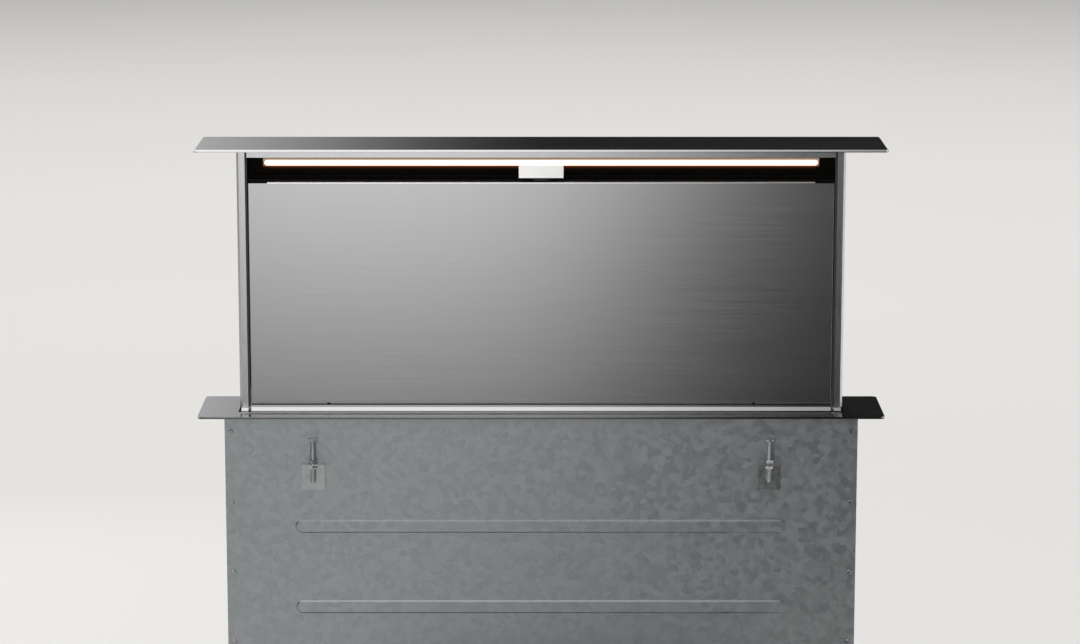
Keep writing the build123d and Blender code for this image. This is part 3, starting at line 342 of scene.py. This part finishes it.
# Ground steel: fine lines across the bar that draw the highlight out along it.
ground_steel = grained("ground_steel", ("#b0b0b0", "#c0c0bf"), (1.2, 14, 14), (0.22, 0.34), 0.002, **steel)
# Aluminium as drawn: paler than steel, dull, with lines along it.
mill_aluminium = grained(
    "mill_finish_aluminium", ("#c3c5c7", "#d0d2d4"), (50, 1.5, 1.5), (0.32, 0.44), 0.003, **steel
)
# Black anodising: metal behind a dark skin, so its shine is weaker. The filter frames are the duller ones.
skin = {"metallic": 0.6}
frame_anodised = grained(
    "black_anodised_filter_frame", ("#0b0b0c", "#111112"), (40, 1.5, 1.5), (0.5, 0.6), **skin
)
black_anodised = grained(
    "black_anodised_aluminium", ("#101012", "#17171a"), (40, 1.5, 1.5), (0.34, 0.42), **skin
)

# %% Paints, plastics and rubbers
# Matt powder coat in the intake: no shine at all, so the slot looks empty.
dead_matt = {"Specular IOR Level": 0.0}
black_coat = grained(
    "matt_black_powder_coat", ("#12110d", "#171611"), (1.5, 1.5, 1.5), (0.8, 0.9), **dead_matt
)
# Grey powder coat: a fine orange peel under a low gloss.
grey_paint = grained("grey_powder_coat", ("#5d6063", "#666a6d"), (1.6, 1.6, 1.6), (0.42, 0.55), 0.015)
# Rubber: nearly black and dull, a little dusty.
nitrile_rubber = grained("nitrile_rubber", ("#1b1b1b", "#252525"), (2.5, 2.5, 2.5), (0.7, 0.85), 0.02)
# Foam: cells that can be seen, without any shine.
cell_foam = grained("closed_cell_foam", ("#1e1e1f", "#2c2c2d"), (1.2, 1.2, 1.2), (0.85, 0.95), 0.08)
# Belts: a woven backing that looks like fine cloth.
belt_neoprene = grained("fabric_backed_neoprene", ("#1f2022", "#2b2c2e"), (1.5, 1.5, 0.8), (0.6, 0.75), 0.03)
# ABS from a grained mould: black with a soft broad highlight.
black_abs = grained("moulded_black_abs", ("#151516", "#1f1f21"), (1.2, 1.2, 1.2), (0.4, 0.52), 0.01)
# Acetal: milky white, smooth and waxy.
white_acetal = grained("moulded_white_acetal", ("#d9d8d0", "#e4e3dc"), (4, 4, 4), (0.3, 0.4))
# Solder mask: a clear green lacquer over the board's weave.
board_laminate = grained("solder_masked_laminate", ("#0d4526", "#14603a"), (3, 3, 3), (0.28, 0.4), 0.006)
print("materials so far:", len(bpy.data.materials))

# %% [markdown]
# The casing and the fan box are hot-dip galvanised sheet. Its zinc freezes in flat crystals, the spangle,
# from a few millimetres to two centimetres across, and each mirrors a little differently. Voronoi cells are
# just that: every cell gets one random number, which sets its tone and its roughness, and a finer noise
# breaks up its face.

# %% Galvanised sheet


def spangled(name, tones, crystal_mm, roughness):
    """Zinc crystals about crystal_mm across, each with a tone and roughness of its own, and a finer frost."""
    material, tree, output = new_material(name)
    place = add(tree, "ShaderNodeTexCoord")
    crystals = add(tree, "ShaderNodeTexVoronoi", {"Vector": place.outputs["Object"]})
    crystals.inputs["Scale"].default_value = 1 / (crystal_mm * MM)
    frost = add(tree, "ShaderNodeTexNoise", {"Vector": place.outputs["Object"]}, inputs={"Detail": 3.0})
    frost.inputs["Scale"].default_value = 3 / (crystal_mm * MM)
    own = add(tree, "ShaderNodeSeparateColor", {0: crystals.outputs["Color"]})
    frost_share = {"Factor": 0.4}
    both = add(tree, "ShaderNodeMix", {"A": own.outputs[0], "B": frost.outputs["Fac"]}, frost_share)
    ends = {"A": linear(tones[0]), "B": linear(tones[1])}
    tone = add(tree, "ShaderNodeMix", {"Factor": both.outputs[0]}, ends, data_type="RGBA")
    spans = {"To Min": roughness[0], "To Max": roughness[1]}
    rough = add(tree, "ShaderNodeMapRange", {"Value": both.outputs[0]}, spans)
    shader = add(
        tree,
        "ShaderNodeBsdfPrincipled",
        {"Base Color": tone.outputs["Result"], "Roughness": rough.outputs["Result"]},
        inputs={"Metallic": 1.0},
    )
    tree.links.new(shader.outputs[0], output.inputs[0])
    return material


galvanised = spangled("galvanised_sheet_steel", ("#9da1a4", "#b4b8ba"), 8, (0.38, 0.52))

# %% [markdown]
# Some pieces of one solid carry a second colour. The panel's top flange is painted black, a painted shade
# that makes it vanish in the intake, and the bend in front of it is painted near white, a painted highlight.
# The top of the sill and the uprights' inner lips are painted dark: painted shade in the gaps round the
# panel.
# The relays and the transformer stand on the green board. No second piece is needed: where the object's own
# coordinates pass a limit, the shader's colour, metal and roughness change over.

# %% A colour past a limit: part colours and painted light


def colour_and_painted_light_beyond(material, limits, hex_colour, roughness, metallic=0.0):
    """Changes a finish to a plain colour where each (axis, sign, limit) holds: part colours, and painted
    light and shade.

    With sign 1 the axis is above the limit, and with -1 below it. X is taken as the distance from the middle,
    because the pieces' left and right sides are alike.
    """
    tree, shader = material.node_tree, shader_of(material)
    place = add(tree, "ShaderNodeTexCoord")
    split = add(tree, "ShaderNodeSeparateXYZ", {"Vector": place.outputs["Object"]})
    past = None
    apart = add(tree, "ShaderNodeMath", {0: split.outputs["X"]}, operation="ABSOLUTE")
    along = {"X": apart.outputs[0], "Y": split.outputs["Y"], "Z": split.outputs["Z"]}
    for axis, sign, limit in limits:
        turned = add(tree, "ShaderNodeMath", {0: along[axis]}, {1: sign}, operation="MULTIPLY")
        edge = {1: sign * limit}
        test = add(tree, "ShaderNodeMath", {0: turned.outputs[0]}, edge, operation="GREATER_THAN")
        if past:
            test = add(tree, "ShaderNodeMath", {0: past.outputs[0], 1: test.outputs[0]}, operation="MULTIPLY")
        past = test
    colour = add(tree, "ShaderNodeMix", {"Factor": past.outputs[0]}, data_type="RGBA")
    tree.links.new(shader.inputs["Base Color"].links[0].from_socket, colour.inputs["A"])
    colour.inputs["B"].default_value = linear(hex_colour)
    rough = add(tree, "ShaderNodeMix", {"Factor": past.outputs[0]}, {"B": roughness})
    tree.links.new(shader.inputs["Roughness"].links[0].from_socket, rough.inputs["A"])
    tree.links.new(colour.outputs["Result"], shader.inputs["Base Color"])
    tree.links.new(rough.outputs["Result"], shader.inputs["Roughness"])
    if metallic != shader.inputs["Metallic"].default_value:
        metal = add(tree, "ShaderNodeMix", {"Factor": past.outputs[0]}, {"B": metallic})
        metal.inputs["A"].default_value = shader.inputs["Metallic"].default_value
        tree.links.new(metal.outputs["Result"], shader.inputs["Metallic"])


bend_z, top_flange_y, top_flange_z = 1039.7 * MM, 48.7 * MM, 1039.5 * MM
# The bend is painted near white metal: a painted highlight along the panel's top edge.
colour_and_painted_light_beyond(panel_steel, [("Z", 1, bend_z)], "#efeeef", roughness=0.2, metallic=1.0)
# The top flange is painted black: a painted shade that makes it vanish in the intake.
colour_and_painted_light_beyond(panel_steel, [("Y", 1, top_flange_y), ("Z", 1, top_flange_z)], "#050505", roughness=1.0)
# The top of the sill and the uprights' inner lips are painted dark: painted shade in the gaps round the
# panel.
sill_painted_shade_z, lip_x = 744.4 * MM, 385.75 * MM
colour_and_painted_light_beyond(sill_steel, [("Z", 1, sill_painted_shade_z)], "#0b0b0b", roughness=0.9)
colour_and_painted_light_beyond(upright_steel, [("X", -1, lip_x)], "#3c3c3e", roughness=0.6)
main_board_face_y, main_board_above_z = 15.9 * MM, 300 * MM
relays = [("Y", -1, main_board_face_y), ("Z", -1, main_board_above_z)]
colour_and_painted_light_beyond(board_laminate, relays, "#16181b", roughness=0.45)
part_colours_and_painted_light = (panel_steel, sill_steel, upright_steel, board_laminate)
print("coated:", ", ".join(material.name for material in part_colours_and_painted_light))

# %% [markdown]
# The lamp is a strip of warm white diodes behind an opal acrylic bar. The bar itself is what glows, so its
# material gives off light: nearly white along the middle, and warmer where the bar turns away at its edges.
# The light that the bar throws round itself is painted: the black profile's material glows as a warm rim, and
# the baffle's below as a brown glow that soon fades.

# %% Lamp materials, and painted lamp light round them


def height_ramp(tree, middle_z, reach, stops):
    """Colours by height: stops are (offset from the middle, hex colour), from -reach to reach, in metres."""
    place = add(tree, "ShaderNodeTexCoord")
    split = add(tree, "ShaderNodeSeparateXYZ", {"Vector": place.outputs["Object"]})
    span = {"From Min": middle_z - reach, "From Max": middle_z + reach}
    share = add(tree, "ShaderNodeMapRange", {"Value": split.outputs["Z"]}, span)
    ramp = add(tree, "ShaderNodeValToRGB", {"Fac": share.outputs["Result"]})
    while len(ramp.color_ramp.elements) < len(stops):
        ramp.color_ramp.elements.new(0.5)
    for element, (offset, hex_colour) in zip(ramp.color_ramp.elements, stops):
        element.position = 0.5 + offset / reach / 2
        element.color = linear(hex_colour)
    return ramp.outputs["Color"]


def lit_opal(name, middle_z, half_height):
    """Opal acrylic that glows, warmer towards its upper and lower edges."""
    material, tree, output = new_material(name)
    stops = [(-1.0, "#f0b890"), (-0.55, "#fff4e6"), (0.0, "#fffdf8"), (0.55, "#fff4e6"), (1.0, "#f0b890")]
    glow = height_ramp(tree, middle_z, half_height, [(share * half_height, tone) for share, tone in stops])
    shader = add(
        tree,
        "ShaderNodeBsdfPrincipled",
        {"Emission Color": glow},
        inputs={"Base Color": linear("#f2ede2"), "Roughness": 0.35, "Emission Strength": 1.6},
    )
    tree.links.new(shader.outputs[0], output.inputs[0])
    return material


lamp_z, lamp_half_height, painted_spill_reach = 1063.85 * MM, 3.65 * MM, 6.5 * MM
opal_acrylic = lit_opal("lit_opal_acrylic", lamp_z, lamp_half_height)
carrier_shader = shader_of(black_anodised)
# Offsets from the lamp's middle in millimetres, with the colour of the painted light that the profile shows
# there.
painted_spill_tones = [
    (-6.4, "#000000"), (-5.0, "#6b3d22"), (-3.7, "#9a6240"),
    (3.7, "#cfae93"), (5.2, "#b3a190"), (6.4, "#6b645d"),
]
painted_spill_stops = [(offset * MM, tone) for offset, tone in painted_spill_tones]
# The black profile's material glows with this painted light.
painted_spill_colour = height_ramp(black_anodised.node_tree, lamp_z, painted_spill_reach, painted_spill_stops)
black_anodised.node_tree.links.new(painted_spill_colour, carrier_shader.inputs["Emission Color"])
carrier_shader.inputs["Emission Strength"].default_value = 0.7


def paint_glow_below(material, top_z, fade, half_length, tones):
    """Paints light of two tones into a material's glow below a height, black at its end, and none past
    half_length on either side.
    """
    tree, shader = material.node_tree, shader_of(material)
    stops = [(-fade, "#000000"), (-0.4 * fade, tones[0]), (0.0, tones[1]), (0.2 * fade, "#000000")]
    tree.links.new(height_ramp(tree, top_z, fade, stops), shader.inputs["Emission Color"])
    place = add(tree, "ShaderNodeTexCoord")
    split = add(tree, "ShaderNodeSeparateXYZ", {"Vector": place.outputs["Object"]})
    apart = add(tree, "ShaderNodeMath", {0: split.outputs["X"]}, operation="ABSOLUTE")
    ends = {"From Min": half_length + 4 * MM, "From Max": half_length - 8 * MM}
    near = add(tree, "ShaderNodeMapRange", {"Value": apart.outputs[0]}, ends, interpolation_type="SMOOTHSTEP")
    tree.links.new(near.outputs["Result"], shader.inputs["Emission Strength"])


carrier_foot_z, glow_fade, lamp_half_length = 1059 * MM, 5 * MM, 361 * MM
# The baffle's material glows brown below the lamp's profile: painted light.
paint_glow_below(black_coat, carrier_foot_z, glow_fade, lamp_half_length, ("#1d0d06", "#5a3019"))
print("lit:", opal_acrylic.name, black_anodised.name, black_coat.name)

# %% Which node wears which finish
finishes = {
    lid_steel: ["lid_plate"],
    flange_steel: ["flange_plate"],
    panel_steel: ["front_panel"],
    rail_steel: ["head_rail"],
    sill_steel: ["sill"],
    upright_steel: ["upright_left", "upright_right"],
    tab_steel: ["catch_tab"],
    rear_steel: ["tower_back_panel", "front_skirt"],
    galvanised: [
        "filter_rail", "carriage_beam", "casing_front", "casing_back", "casing_sides", "casing_base",
        "fan_box_shell", "fan_box_cover", "fan_scroll", "fan_inlet_ring", "impeller", "spigot_flange",
    ],
    zinc_plated: ["carriage_plates", "foot_brackets", "guide_rails", "idler_brackets", "worktop_clamps"],
    ground_steel: ["lift_motor", "damper_pin", "drive_shaft", "fan_shaft"],
    mill_aluminium: ["filter_meshes", "shaft_bearings", "drive_pulleys"],
    frame_anodised: ["filter_frames"],
    black_anodised: ["lamp_carrier"],
    black_coat: ["intake_baffle"],
    grey_paint: ["lift_gearbox", "fan_motor"],
    nitrile_rubber: ["lid_buffers", "fan_box_feet"],
    cell_foam: ["flange_seal"],
    belt_neoprene: ["drive_belts"],
    black_abs: [
        "catch_guides", "catch_slider", "belt_clamps", "limit_switches", "duct_spigot", "control_box",
        "control_box_lid", "mains_inlet", "damper_flap_front", "damper_flap_back",
    ],
    white_acetal: ["carriage_gliders", "idler_left", "idler_right"],
    board_laminate: ["lamp_board", "touch_board", "main_board"],
    opal_acrylic: ["lamp_diffuser"],
}


def dress(material, node):
    """Gives a CAD node its finish through its object's material slots."""
    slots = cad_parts[node].material_slots
    for one in slots:
        one.link = "OBJECT"
        one.material = material
    return len(slots)


dressed = {node: dress(material, node) for material, names in finishes.items() for node in names}
bare = [node for node, slots in dressed.items() if not slots]
print("dressed", len(dressed), "of", len(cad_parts), "nodes; without slots:", bare)

# %% [markdown]
# Sheet metal is held by small screws: pan heads with a cross recess on the casing, the fan box and the
# covers, and hexagon heads with a washer where the brackets carry load. They could be modelled one by one,
# but they repeat, so one Geometry Nodes tree makes a head from its sizes and sets a copy on each marked
# point, turned at random as a real screw ends up.

# %% A tree with named inputs
NUMBER, FINISH = "NodeSocketFloat", "NodeSocketMaterial"


def geometry_tree(name, inputs):
    """An empty Geometry Nodes tree with a geometry in, a geometry out and the named inputs."""
    tree = bpy.data.node_groups.new(name, "GeometryNodeTree")
    tree.interface.new_socket("Geometry", in_out="INPUT", socket_type="NodeSocketGeometry")
    for label, kind in inputs.items():
        tree.interface.new_socket(label, in_out="INPUT", socket_type=kind)
    tree.interface.new_socket("Geometry", in_out="OUTPUT", socket_type="NodeSocketGeometry")
    return tree, add(tree, "NodeGroupInput"), add(tree, "NodeGroupOutput")


def facing_turn(tree):
    """The rotation that turns +Z to each mark's own facing."""
    facing = add(tree, "GeometryNodeInputNamedAttribute", inputs={"Name": "facing"}, data_type="FLOAT_VECTOR")
    return add(tree, "FunctionNodeAlignRotationToVector", {"Vector": facing.outputs[0]}, axis="Z").outputs[0]


def copy_to_marks(tree, source, output, shape, rotation=None):
    """Sets a copy of the shape on every mark, makes the copies real and gives them their finish."""
    marked = {"Points": source.outputs[0], "Instance": shape.outputs[0]}
    copies = add(tree, "GeometryNodeInstanceOnPoints", marked)
    if rotation:
        tree.links.new(rotation, copies.inputs["Rotation"])
    real = add(tree, "GeometryNodeRealizeInstances", {0: copies.outputs[0]})
    finish = add(tree, "GeometryNodeSetMaterial", {0: real.outputs[0], "Material": source.outputs["Finish"]})
    tree.links.new(finish.outputs[0], output.inputs[0])
    return tree


# %% The screw tree


def screw_tree(name, sides, washer):
    """Heads of a number of sides: a domed round head with a cross recess, or a hexagon on a washer."""
    kinds = {"Head Diameter": NUMBER, "Head Height": NUMBER, "Finish": FINISH}
    if washer:
        kinds["Washer Share"] = NUMBER
    # How late and by how much the head narrows upwards, then shares of its diameter and of its height.
    power, narrowing = (4.0, 0.10) if washer else (2.0, 0.30)
    recess_length, recess_width, washer_height = 0.58, 0.12, 0.4
    tree, source, output = geometry_tree(name, kinds)
    width, height = source.outputs["Head Diameter"], source.outputs["Head Height"]
    radius = add(tree, "ShaderNodeMath", {0: width}, {1: 0.5}, operation="MULTIPLY")
    barrel = add(tree, "GeometryNodeMeshCylinder", {"Radius": radius.outputs[0], "Depth": height})
    barrel.inputs["Vertices"].default_value = sides
    barrel.inputs["Side Segments"].default_value = 3
    lift = add(tree, "ShaderNodeMath", {0: height}, {1: 0.5}, operation="MULTIPLY")
    up = add(tree, "ShaderNodeCombineXYZ", {"Z": lift.outputs[0]})
    lifted = {"Geometry": barrel.outputs["Mesh"], "Translation": up.outputs[0]}
    raised = add(tree, "GeometryNodeTransform", lifted)
    place = add(tree, "GeometryNodeInputPosition")
    parts = add(tree, "ShaderNodeSeparateXYZ", {0: place.outputs[0]})
    share = add(tree, "ShaderNodeMath", {0: parts.outputs["Z"], 1: height}, operation="DIVIDE")
    bulge = add(tree, "ShaderNodeMath", {0: share.outputs[0]}, {1: power}, operation="POWER")
    kept = {1: -narrowing, 2: 1.0}
    drop = add(tree, "ShaderNodeMath", {0: bulge.outputs[0]}, kept, operation="MULTIPLY_ADD")
    shrink = add(tree, "ShaderNodeCombineXYZ", {"X": drop.outputs[0], "Y": drop.outputs[0]}, {"Z": 1.0})
    factors = {0: place.outputs[0], 1: shrink.outputs[0]}
    domed = add(tree, "ShaderNodeVectorMath", factors, operation="MULTIPLY")
    head = add(tree, "GeometryNodeSetPosition", {"Geometry": raised.outputs[0], "Position": domed.outputs[0]})
    if washer:
        rim = add(tree, "ShaderNodeMath", {0: width, 1: source.outputs["Washer Share"]}, operation="MULTIPLY")
        thin = add(tree, "ShaderNodeMath", {0: height}, {1: washer_height}, operation="MULTIPLY")
        ring = add(tree, "GeometryNodeMeshCylinder", {"Radius": rim.outputs[0], "Depth": thin.outputs[0]})
        shape = add(tree, "GeometryNodeJoinGeometry", {0: [head.outputs[0], ring.outputs["Mesh"]]})
    else:
        blade = add(tree, "ShaderNodeMath", {0: width}, {1: recess_length}, operation="MULTIPLY")
        gap = add(tree, "ShaderNodeMath", {0: width}, {1: recess_width}, operation="MULTIPLY")
        top = add(tree, "ShaderNodeCombineXYZ", {"Z": height})
        cutters = []
        for long_way, short_way in ((blade, gap), (gap, blade)):
            sides_of_cut = {0: long_way.outputs[0], 1: short_way.outputs[0], 2: height}
            size = add(tree, "ShaderNodeCombineXYZ", sides_of_cut)
            cube = add(tree, "GeometryNodeMeshCube", {"Size": size.outputs[0]})
            to_top = {"Geometry": cube.outputs[0], "Translation": top.outputs[0]}
            moved = add(tree, "GeometryNodeTransform", to_top)
            cutters.append(moved.outputs[0])
        shape = add(tree, "GeometryNodeMeshBoolean", {"Mesh 1": head.outputs[0], "Mesh 2": cutters})
    turn = add(tree, "FunctionNodeRandomValue", inputs={"Seed": 7}, data_type="FLOAT")
    turn.inputs[3].default_value = math.tau  # by number, because several inputs share the name Max
    twist = add(tree, "FunctionNodeAxisAngleToRotation", {"Angle": turn.outputs[1]}, {"Axis": (0, 0, 1)})
    turns = {0: facing_turn(tree), 1: twist.outputs[0]}
    both = add(tree, "FunctionNodeRotateRotation", turns, rotation_space="LOCAL")
    return copy_to_marks(tree, source, output, shape, both.outputs[0])


pan_heads = screw_tree("pan_head_screws", 20, False)
hexagon_heads = screw_tree("hexagon_head_screws", 6, True)

# %% From a tree to a plain mesh


def grow(name, tree, marks, body, slot, **sizes):
    """Runs a tree on a list of (place, facing) and keeps its result as a plain mesh that rides on a body."""
    mesh = bpy.data.meshes.new(name)
    mesh.from_pydata([place for place, _ in marks], [], [])
    facing = mesh.attributes.new("facing", "FLOAT_VECTOR", "POINT")
    for entry, (_, way) in zip(facing.data, marks):
        entry.vector = way
    piece = bpy.data.objects.new(name, mesh)
    scene.collection.objects.link(piece)
    modifier = piece.modifiers.new("nodes", "NODES")
    modifier.node_group = tree
    for socket in tree.interface.items_tree:
        keyword = socket.name.replace(" ", "_").lower()
        if socket.in_out == "INPUT" and keyword in sizes:
            modifier[socket.identifier] = sizes[keyword]
    graph = bpy.context.evaluated_depsgraph_get()
    result = bpy.data.meshes.new_from_object(piece.evaluated_get(graph))
    piece.modifiers.clear()
    piece.data = result
    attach(piece, body)
    print(name, len(marks), "copies,", sum(len(p.vertices) - 2 for p in result.polygons), "triangles")
    return piece


def seat(node, start, way):
    """The mark where a ray from start, looking along way, meets a node: its place, and the way back."""
    hit, place, _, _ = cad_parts[node].ray_cast(Vector(start) * MM, Vector(way))
    assert hit, (node, start)
    return place, -Vector(way)


def spread(low, high, count):
    """Evenly spaced values from low to high, both ends included."""
    return [low + (high - low) * i / (count - 1) for i in range(count)]


def circle(middle, radius, count, first_degrees):
    """Evenly spaced places on a circle, the first one at first_degrees."""
    angles = [math.radians(first_degrees + 360 * i / count) for i in range(count)]
    return [(middle[0] + radius * math.cos(angle), middle[1] + radius * math.sin(angle)) for angle in angles]


def seat_both_sides(node, places):
    """The marks at places (y, z) on a node's left side and then on its right."""
    return [seat(node, (side * 600, y, z), (-side, 0, 0)) for side in (-1, 1) for y, z in places]


# %% [markdown]
# Where a screw goes is given as a row or a circle of places in millimetres, near the edges that the real
# sheets are joined at. A ray that starts outside finds the surface there, from the side that its name says,
# so every head sits flush wherever the sheet has a fold or a bead.

# %% Screws of the casing and its boxes
from_front, from_rear, from_above = (0, 1, 0), (0, -1, 0), (0, 0, -1)
from_left, from_right = (1, 0, 0), (-1, 0, 0)
casing_edges_x, box_rim_y = (-408, 408), -131
front_edges = [(x, z) for x in casing_edges_x for z in spread(140, 712, 7)]
rear_edges = [(x, z) for x in casing_edges_x for z in spread(60, 712, 8)]
sheet_marks = [seat("casing_front", (x, -300, z), from_front) for x, z in front_edges]
sheet_marks += [seat("casing_back", (x, 300, z), from_rear) for x, z in rear_edges]
sheet_marks += [seat("fan_box_shell", (x, box_rim_y, 500), from_above) for x in spread(-168, 224, 5)]
sheet_marks += [seat("fan_box_shell", (-500, box_rim_y, z), from_left) for z in spread(50, 312, 3)]
sheet_marks += [seat("fan_box_shell", (500, box_rim_y, z), from_right) for z in (50, 138)]
# Round the plate over the second fan hole.
blank_edge = [(x, z) for x in (-120, 60) for z in (75, 165, 255)] + [(-30, 75), (-30, 255)]
sheet_marks += [seat("casing_back", (x, 300, z), from_rear) for x, z in blank_edge]
grow("casing_screws", pan_heads, sheet_marks, "housing", "zinc_plated_steel", head_diameter=7 * MM,
     head_height=2.2 * MM, finish=zinc_plated)

cover_left, cover_right, cover_bottom, cover_top = -172, 228, 39, 323
cover_edge = [(x, z) for z in (cover_bottom, cover_top) for x in spread(cover_left, cover_right, 5)]
cover_edge += [(x, z) for x in (cover_left, cover_right) for z in (110, 181, 252)]
fan_middle = (-30, 165)
motor_screws = circle(fan_middle, 40, 4, 45)
cover_marks = [seat("fan_box_cover", (x, -300, z), from_front) for x, z in cover_edge + motor_screws]
grow("fan_cover_screws", pan_heads, cover_marks, "housing", "zinc_plated_steel", head_diameter=6.5 * MM,
     head_height=2.0 * MM, finish=zinc_plated)

duct_middle = (-54.75, 248.5)
collar_screws = circle(duct_middle, 79.5, 8, 22.5)
small_marks = [seat("spigot_flange", (500, y, z), from_right) for y, z in collar_screws]
small_marks += [seat("control_box_lid", (x, -300, z), from_front) for x in (-382, -228.4) for z in (108, 282)]
grow("small_screws", pan_heads, small_marks, "housing", "zinc_plated_steel", head_diameter=5 * MM,
     head_height=1.7 * MM, finish=zinc_plated)

foot_marks = seat_both_sides("foot_brackets", [(y, z) for y in (56, 96.5) for z in (60, 100)])
grow("bracket_bolts", hexagon_heads, foot_marks, "housing", "zinc_plated_steel", head_diameter=9 * MM,
     head_height=3.6 * MM, washer_share=0.85, finish=zinc_plated)

# %% [markdown]
# The guide rails are riveted to the casing's side sheets from inside, so only the blind rivets' heads show:
# a low cone with the end of the drawn mandrel in its middle. Each clamp is a jacking screw with a nut on
# both sides of its arm. Its thread is rings, not a helix, which nobody can tell apart at this size, and
# they stand 2 mm apart where an M6 thread has 1 mm, because finer ones would vanish.

# %% Rivets


def rivet_tree(name):
    """Blind rivets: a low cone and the mandrel's end."""
    kinds = {"Head Diameter": NUMBER, "Head Height": NUMBER, "Finish": FINISH}
    tree, source, output = geometry_tree(name, kinds)
    width, height = source.outputs["Head Diameter"], source.outputs["Head Height"]
    shares = (0.5, 0.3, 0.14)  # the radii of the cone's foot, its top and the mandrel, of the head's diameter
    foot, top, mandrel = [
        add(tree, "ShaderNodeMath", {0: width}, {1: share}, operation="MULTIPLY").outputs[0]
        for share in shares
    ]
    cone_sizes = {"Radius Bottom": foot, "Radius Top": top, "Depth": height}
    cone = add(tree, "GeometryNodeMeshCone", cone_sizes, {"Vertices": 18})
    # The mandrel's middle is on the sheet, so it stands a quarter of the head's height out of the cone.
    length = add(tree, "ShaderNodeMath", {0: height}, {1: 2.5}, operation="MULTIPLY")
    pin_sizes = {"Radius": mandrel, "Depth": length.outputs[0]}
    pin = add(tree, "GeometryNodeMeshCylinder", pin_sizes, {"Vertices": 10})
    shape = add(tree, "GeometryNodeJoinGeometry", {0: [cone.outputs["Mesh"], pin.outputs["Mesh"]]})
    return copy_to_marks(tree, source, output, shape, facing_turn(tree))


rivet_marks = seat_both_sides("casing_sides", [(y, z) for y in (47, 105.5) for z in spread(160, 700, 7)])
grow("rail_rivets", rivet_tree("blind_rivets"), rivet_marks, "housing", "aluminium", head_diameter=8 * MM,
     head_height=1.4 * MM, finish=mill_aluminium)

# %% Nuts and threads of the clamps


def thread_tree(name):
    """Rings with a ridge round their middle, stacked along a screw."""
    kinds = {"Core Radius": NUMBER, "Pitch": NUMBER, "Ridge": NUMBER, "Finish": FINISH}
    tree, source, output = geometry_tree(name, kinds)
    ring_sizes = {"Radius": source.outputs["Core Radius"], "Depth": source.outputs["Pitch"]}
    ring = add(tree, "GeometryNodeMeshCylinder", ring_sizes, {"Vertices": 16, "Side Segments": 2})
    place = add(tree, "GeometryNodeInputPosition")
    split = add(tree, "ShaderNodeSeparateXYZ", {0: place.outputs[0]})
    height = add(tree, "ShaderNodeMath", {0: split.outputs["Z"]}, operation="ABSOLUTE")
    half = add(tree, "ShaderNodeMath", {0: source.outputs["Pitch"]}, {1: 0.5}, operation="MULTIPLY")
    share = add(tree, "ShaderNodeMath", {0: height.outputs[0], 1: half.outputs[0]}, operation="DIVIDE")
    near = add(tree, "ShaderNodeMath", {1: share.outputs[0]}, {0: 1.0}, operation="SUBTRACT")
    factors = {0: near.outputs[0], 1: source.outputs["Ridge"]}
    proud = add(tree, "ShaderNodeMath", factors, {2: 1.0}, operation="MULTIPLY_ADD")
    wide = add(tree, "ShaderNodeCombineXYZ", {"X": proud.outputs[0], "Y": proud.outputs[0]}, {"Z": 1.0})
    scales = {0: place.outputs[0], 1: wide.outputs[0]}
    placed = add(tree, "ShaderNodeVectorMath", scales, operation="MULTIPLY")
    outline = {"Geometry": ring.outputs["Mesh"], "Position": placed.outputs[0]}
    ridged = add(tree, "GeometryNodeSetPosition", outline)
    return copy_to_marks(tree, source, output, ridged)


clamp_screws = [(x, y) for x in (-300, 300) for y in (22.75, 129.75)]
ring_heights = (*range(647, 664, 2), *range(677, 702, 2))  # below and above the arm and its two nuts
thread_marks = [(Vector((x, y, z)) * MM, (0, 0, 1)) for x, y in clamp_screws for z in ring_heights]
grow("clamp_threads", thread_tree("screw_threads"), thread_marks, "housing", "zinc_plated_steel",
     core_radius=3 * MM, pitch=1.9 * MM, ridge=0.2, finish=zinc_plated)
nut_seats = ((671, 1), (669, -1))  # the arm's upper and lower face, and the way each nut looks
nut_marks = [(Vector((x, y, z)) * MM, (0, 0, way)) for x, y in clamp_screws for z, way in nut_seats]
grow("clamp_nuts", hexagon_heads, nut_marks, "housing", "zinc_plated_steel", head_diameter=11.4 * MM,
     head_height=5 * MM, washer_share=0.5, finish=zinc_plated)

# %% Screws at the back of the tower
tower_edges = [(x, z) for x in (-376, 376) for z in spread(772, 1066, 4)]
tower_marks = [seat("tower_back_panel", (x, 300, z), from_rear) for x, z in tower_edges]
grow("tower_screws", pan_heads, tower_marks, "tower", "zinc_plated_steel", head_diameter=5 * MM,
     head_height=1.6 * MM, finish=zinc_plated)
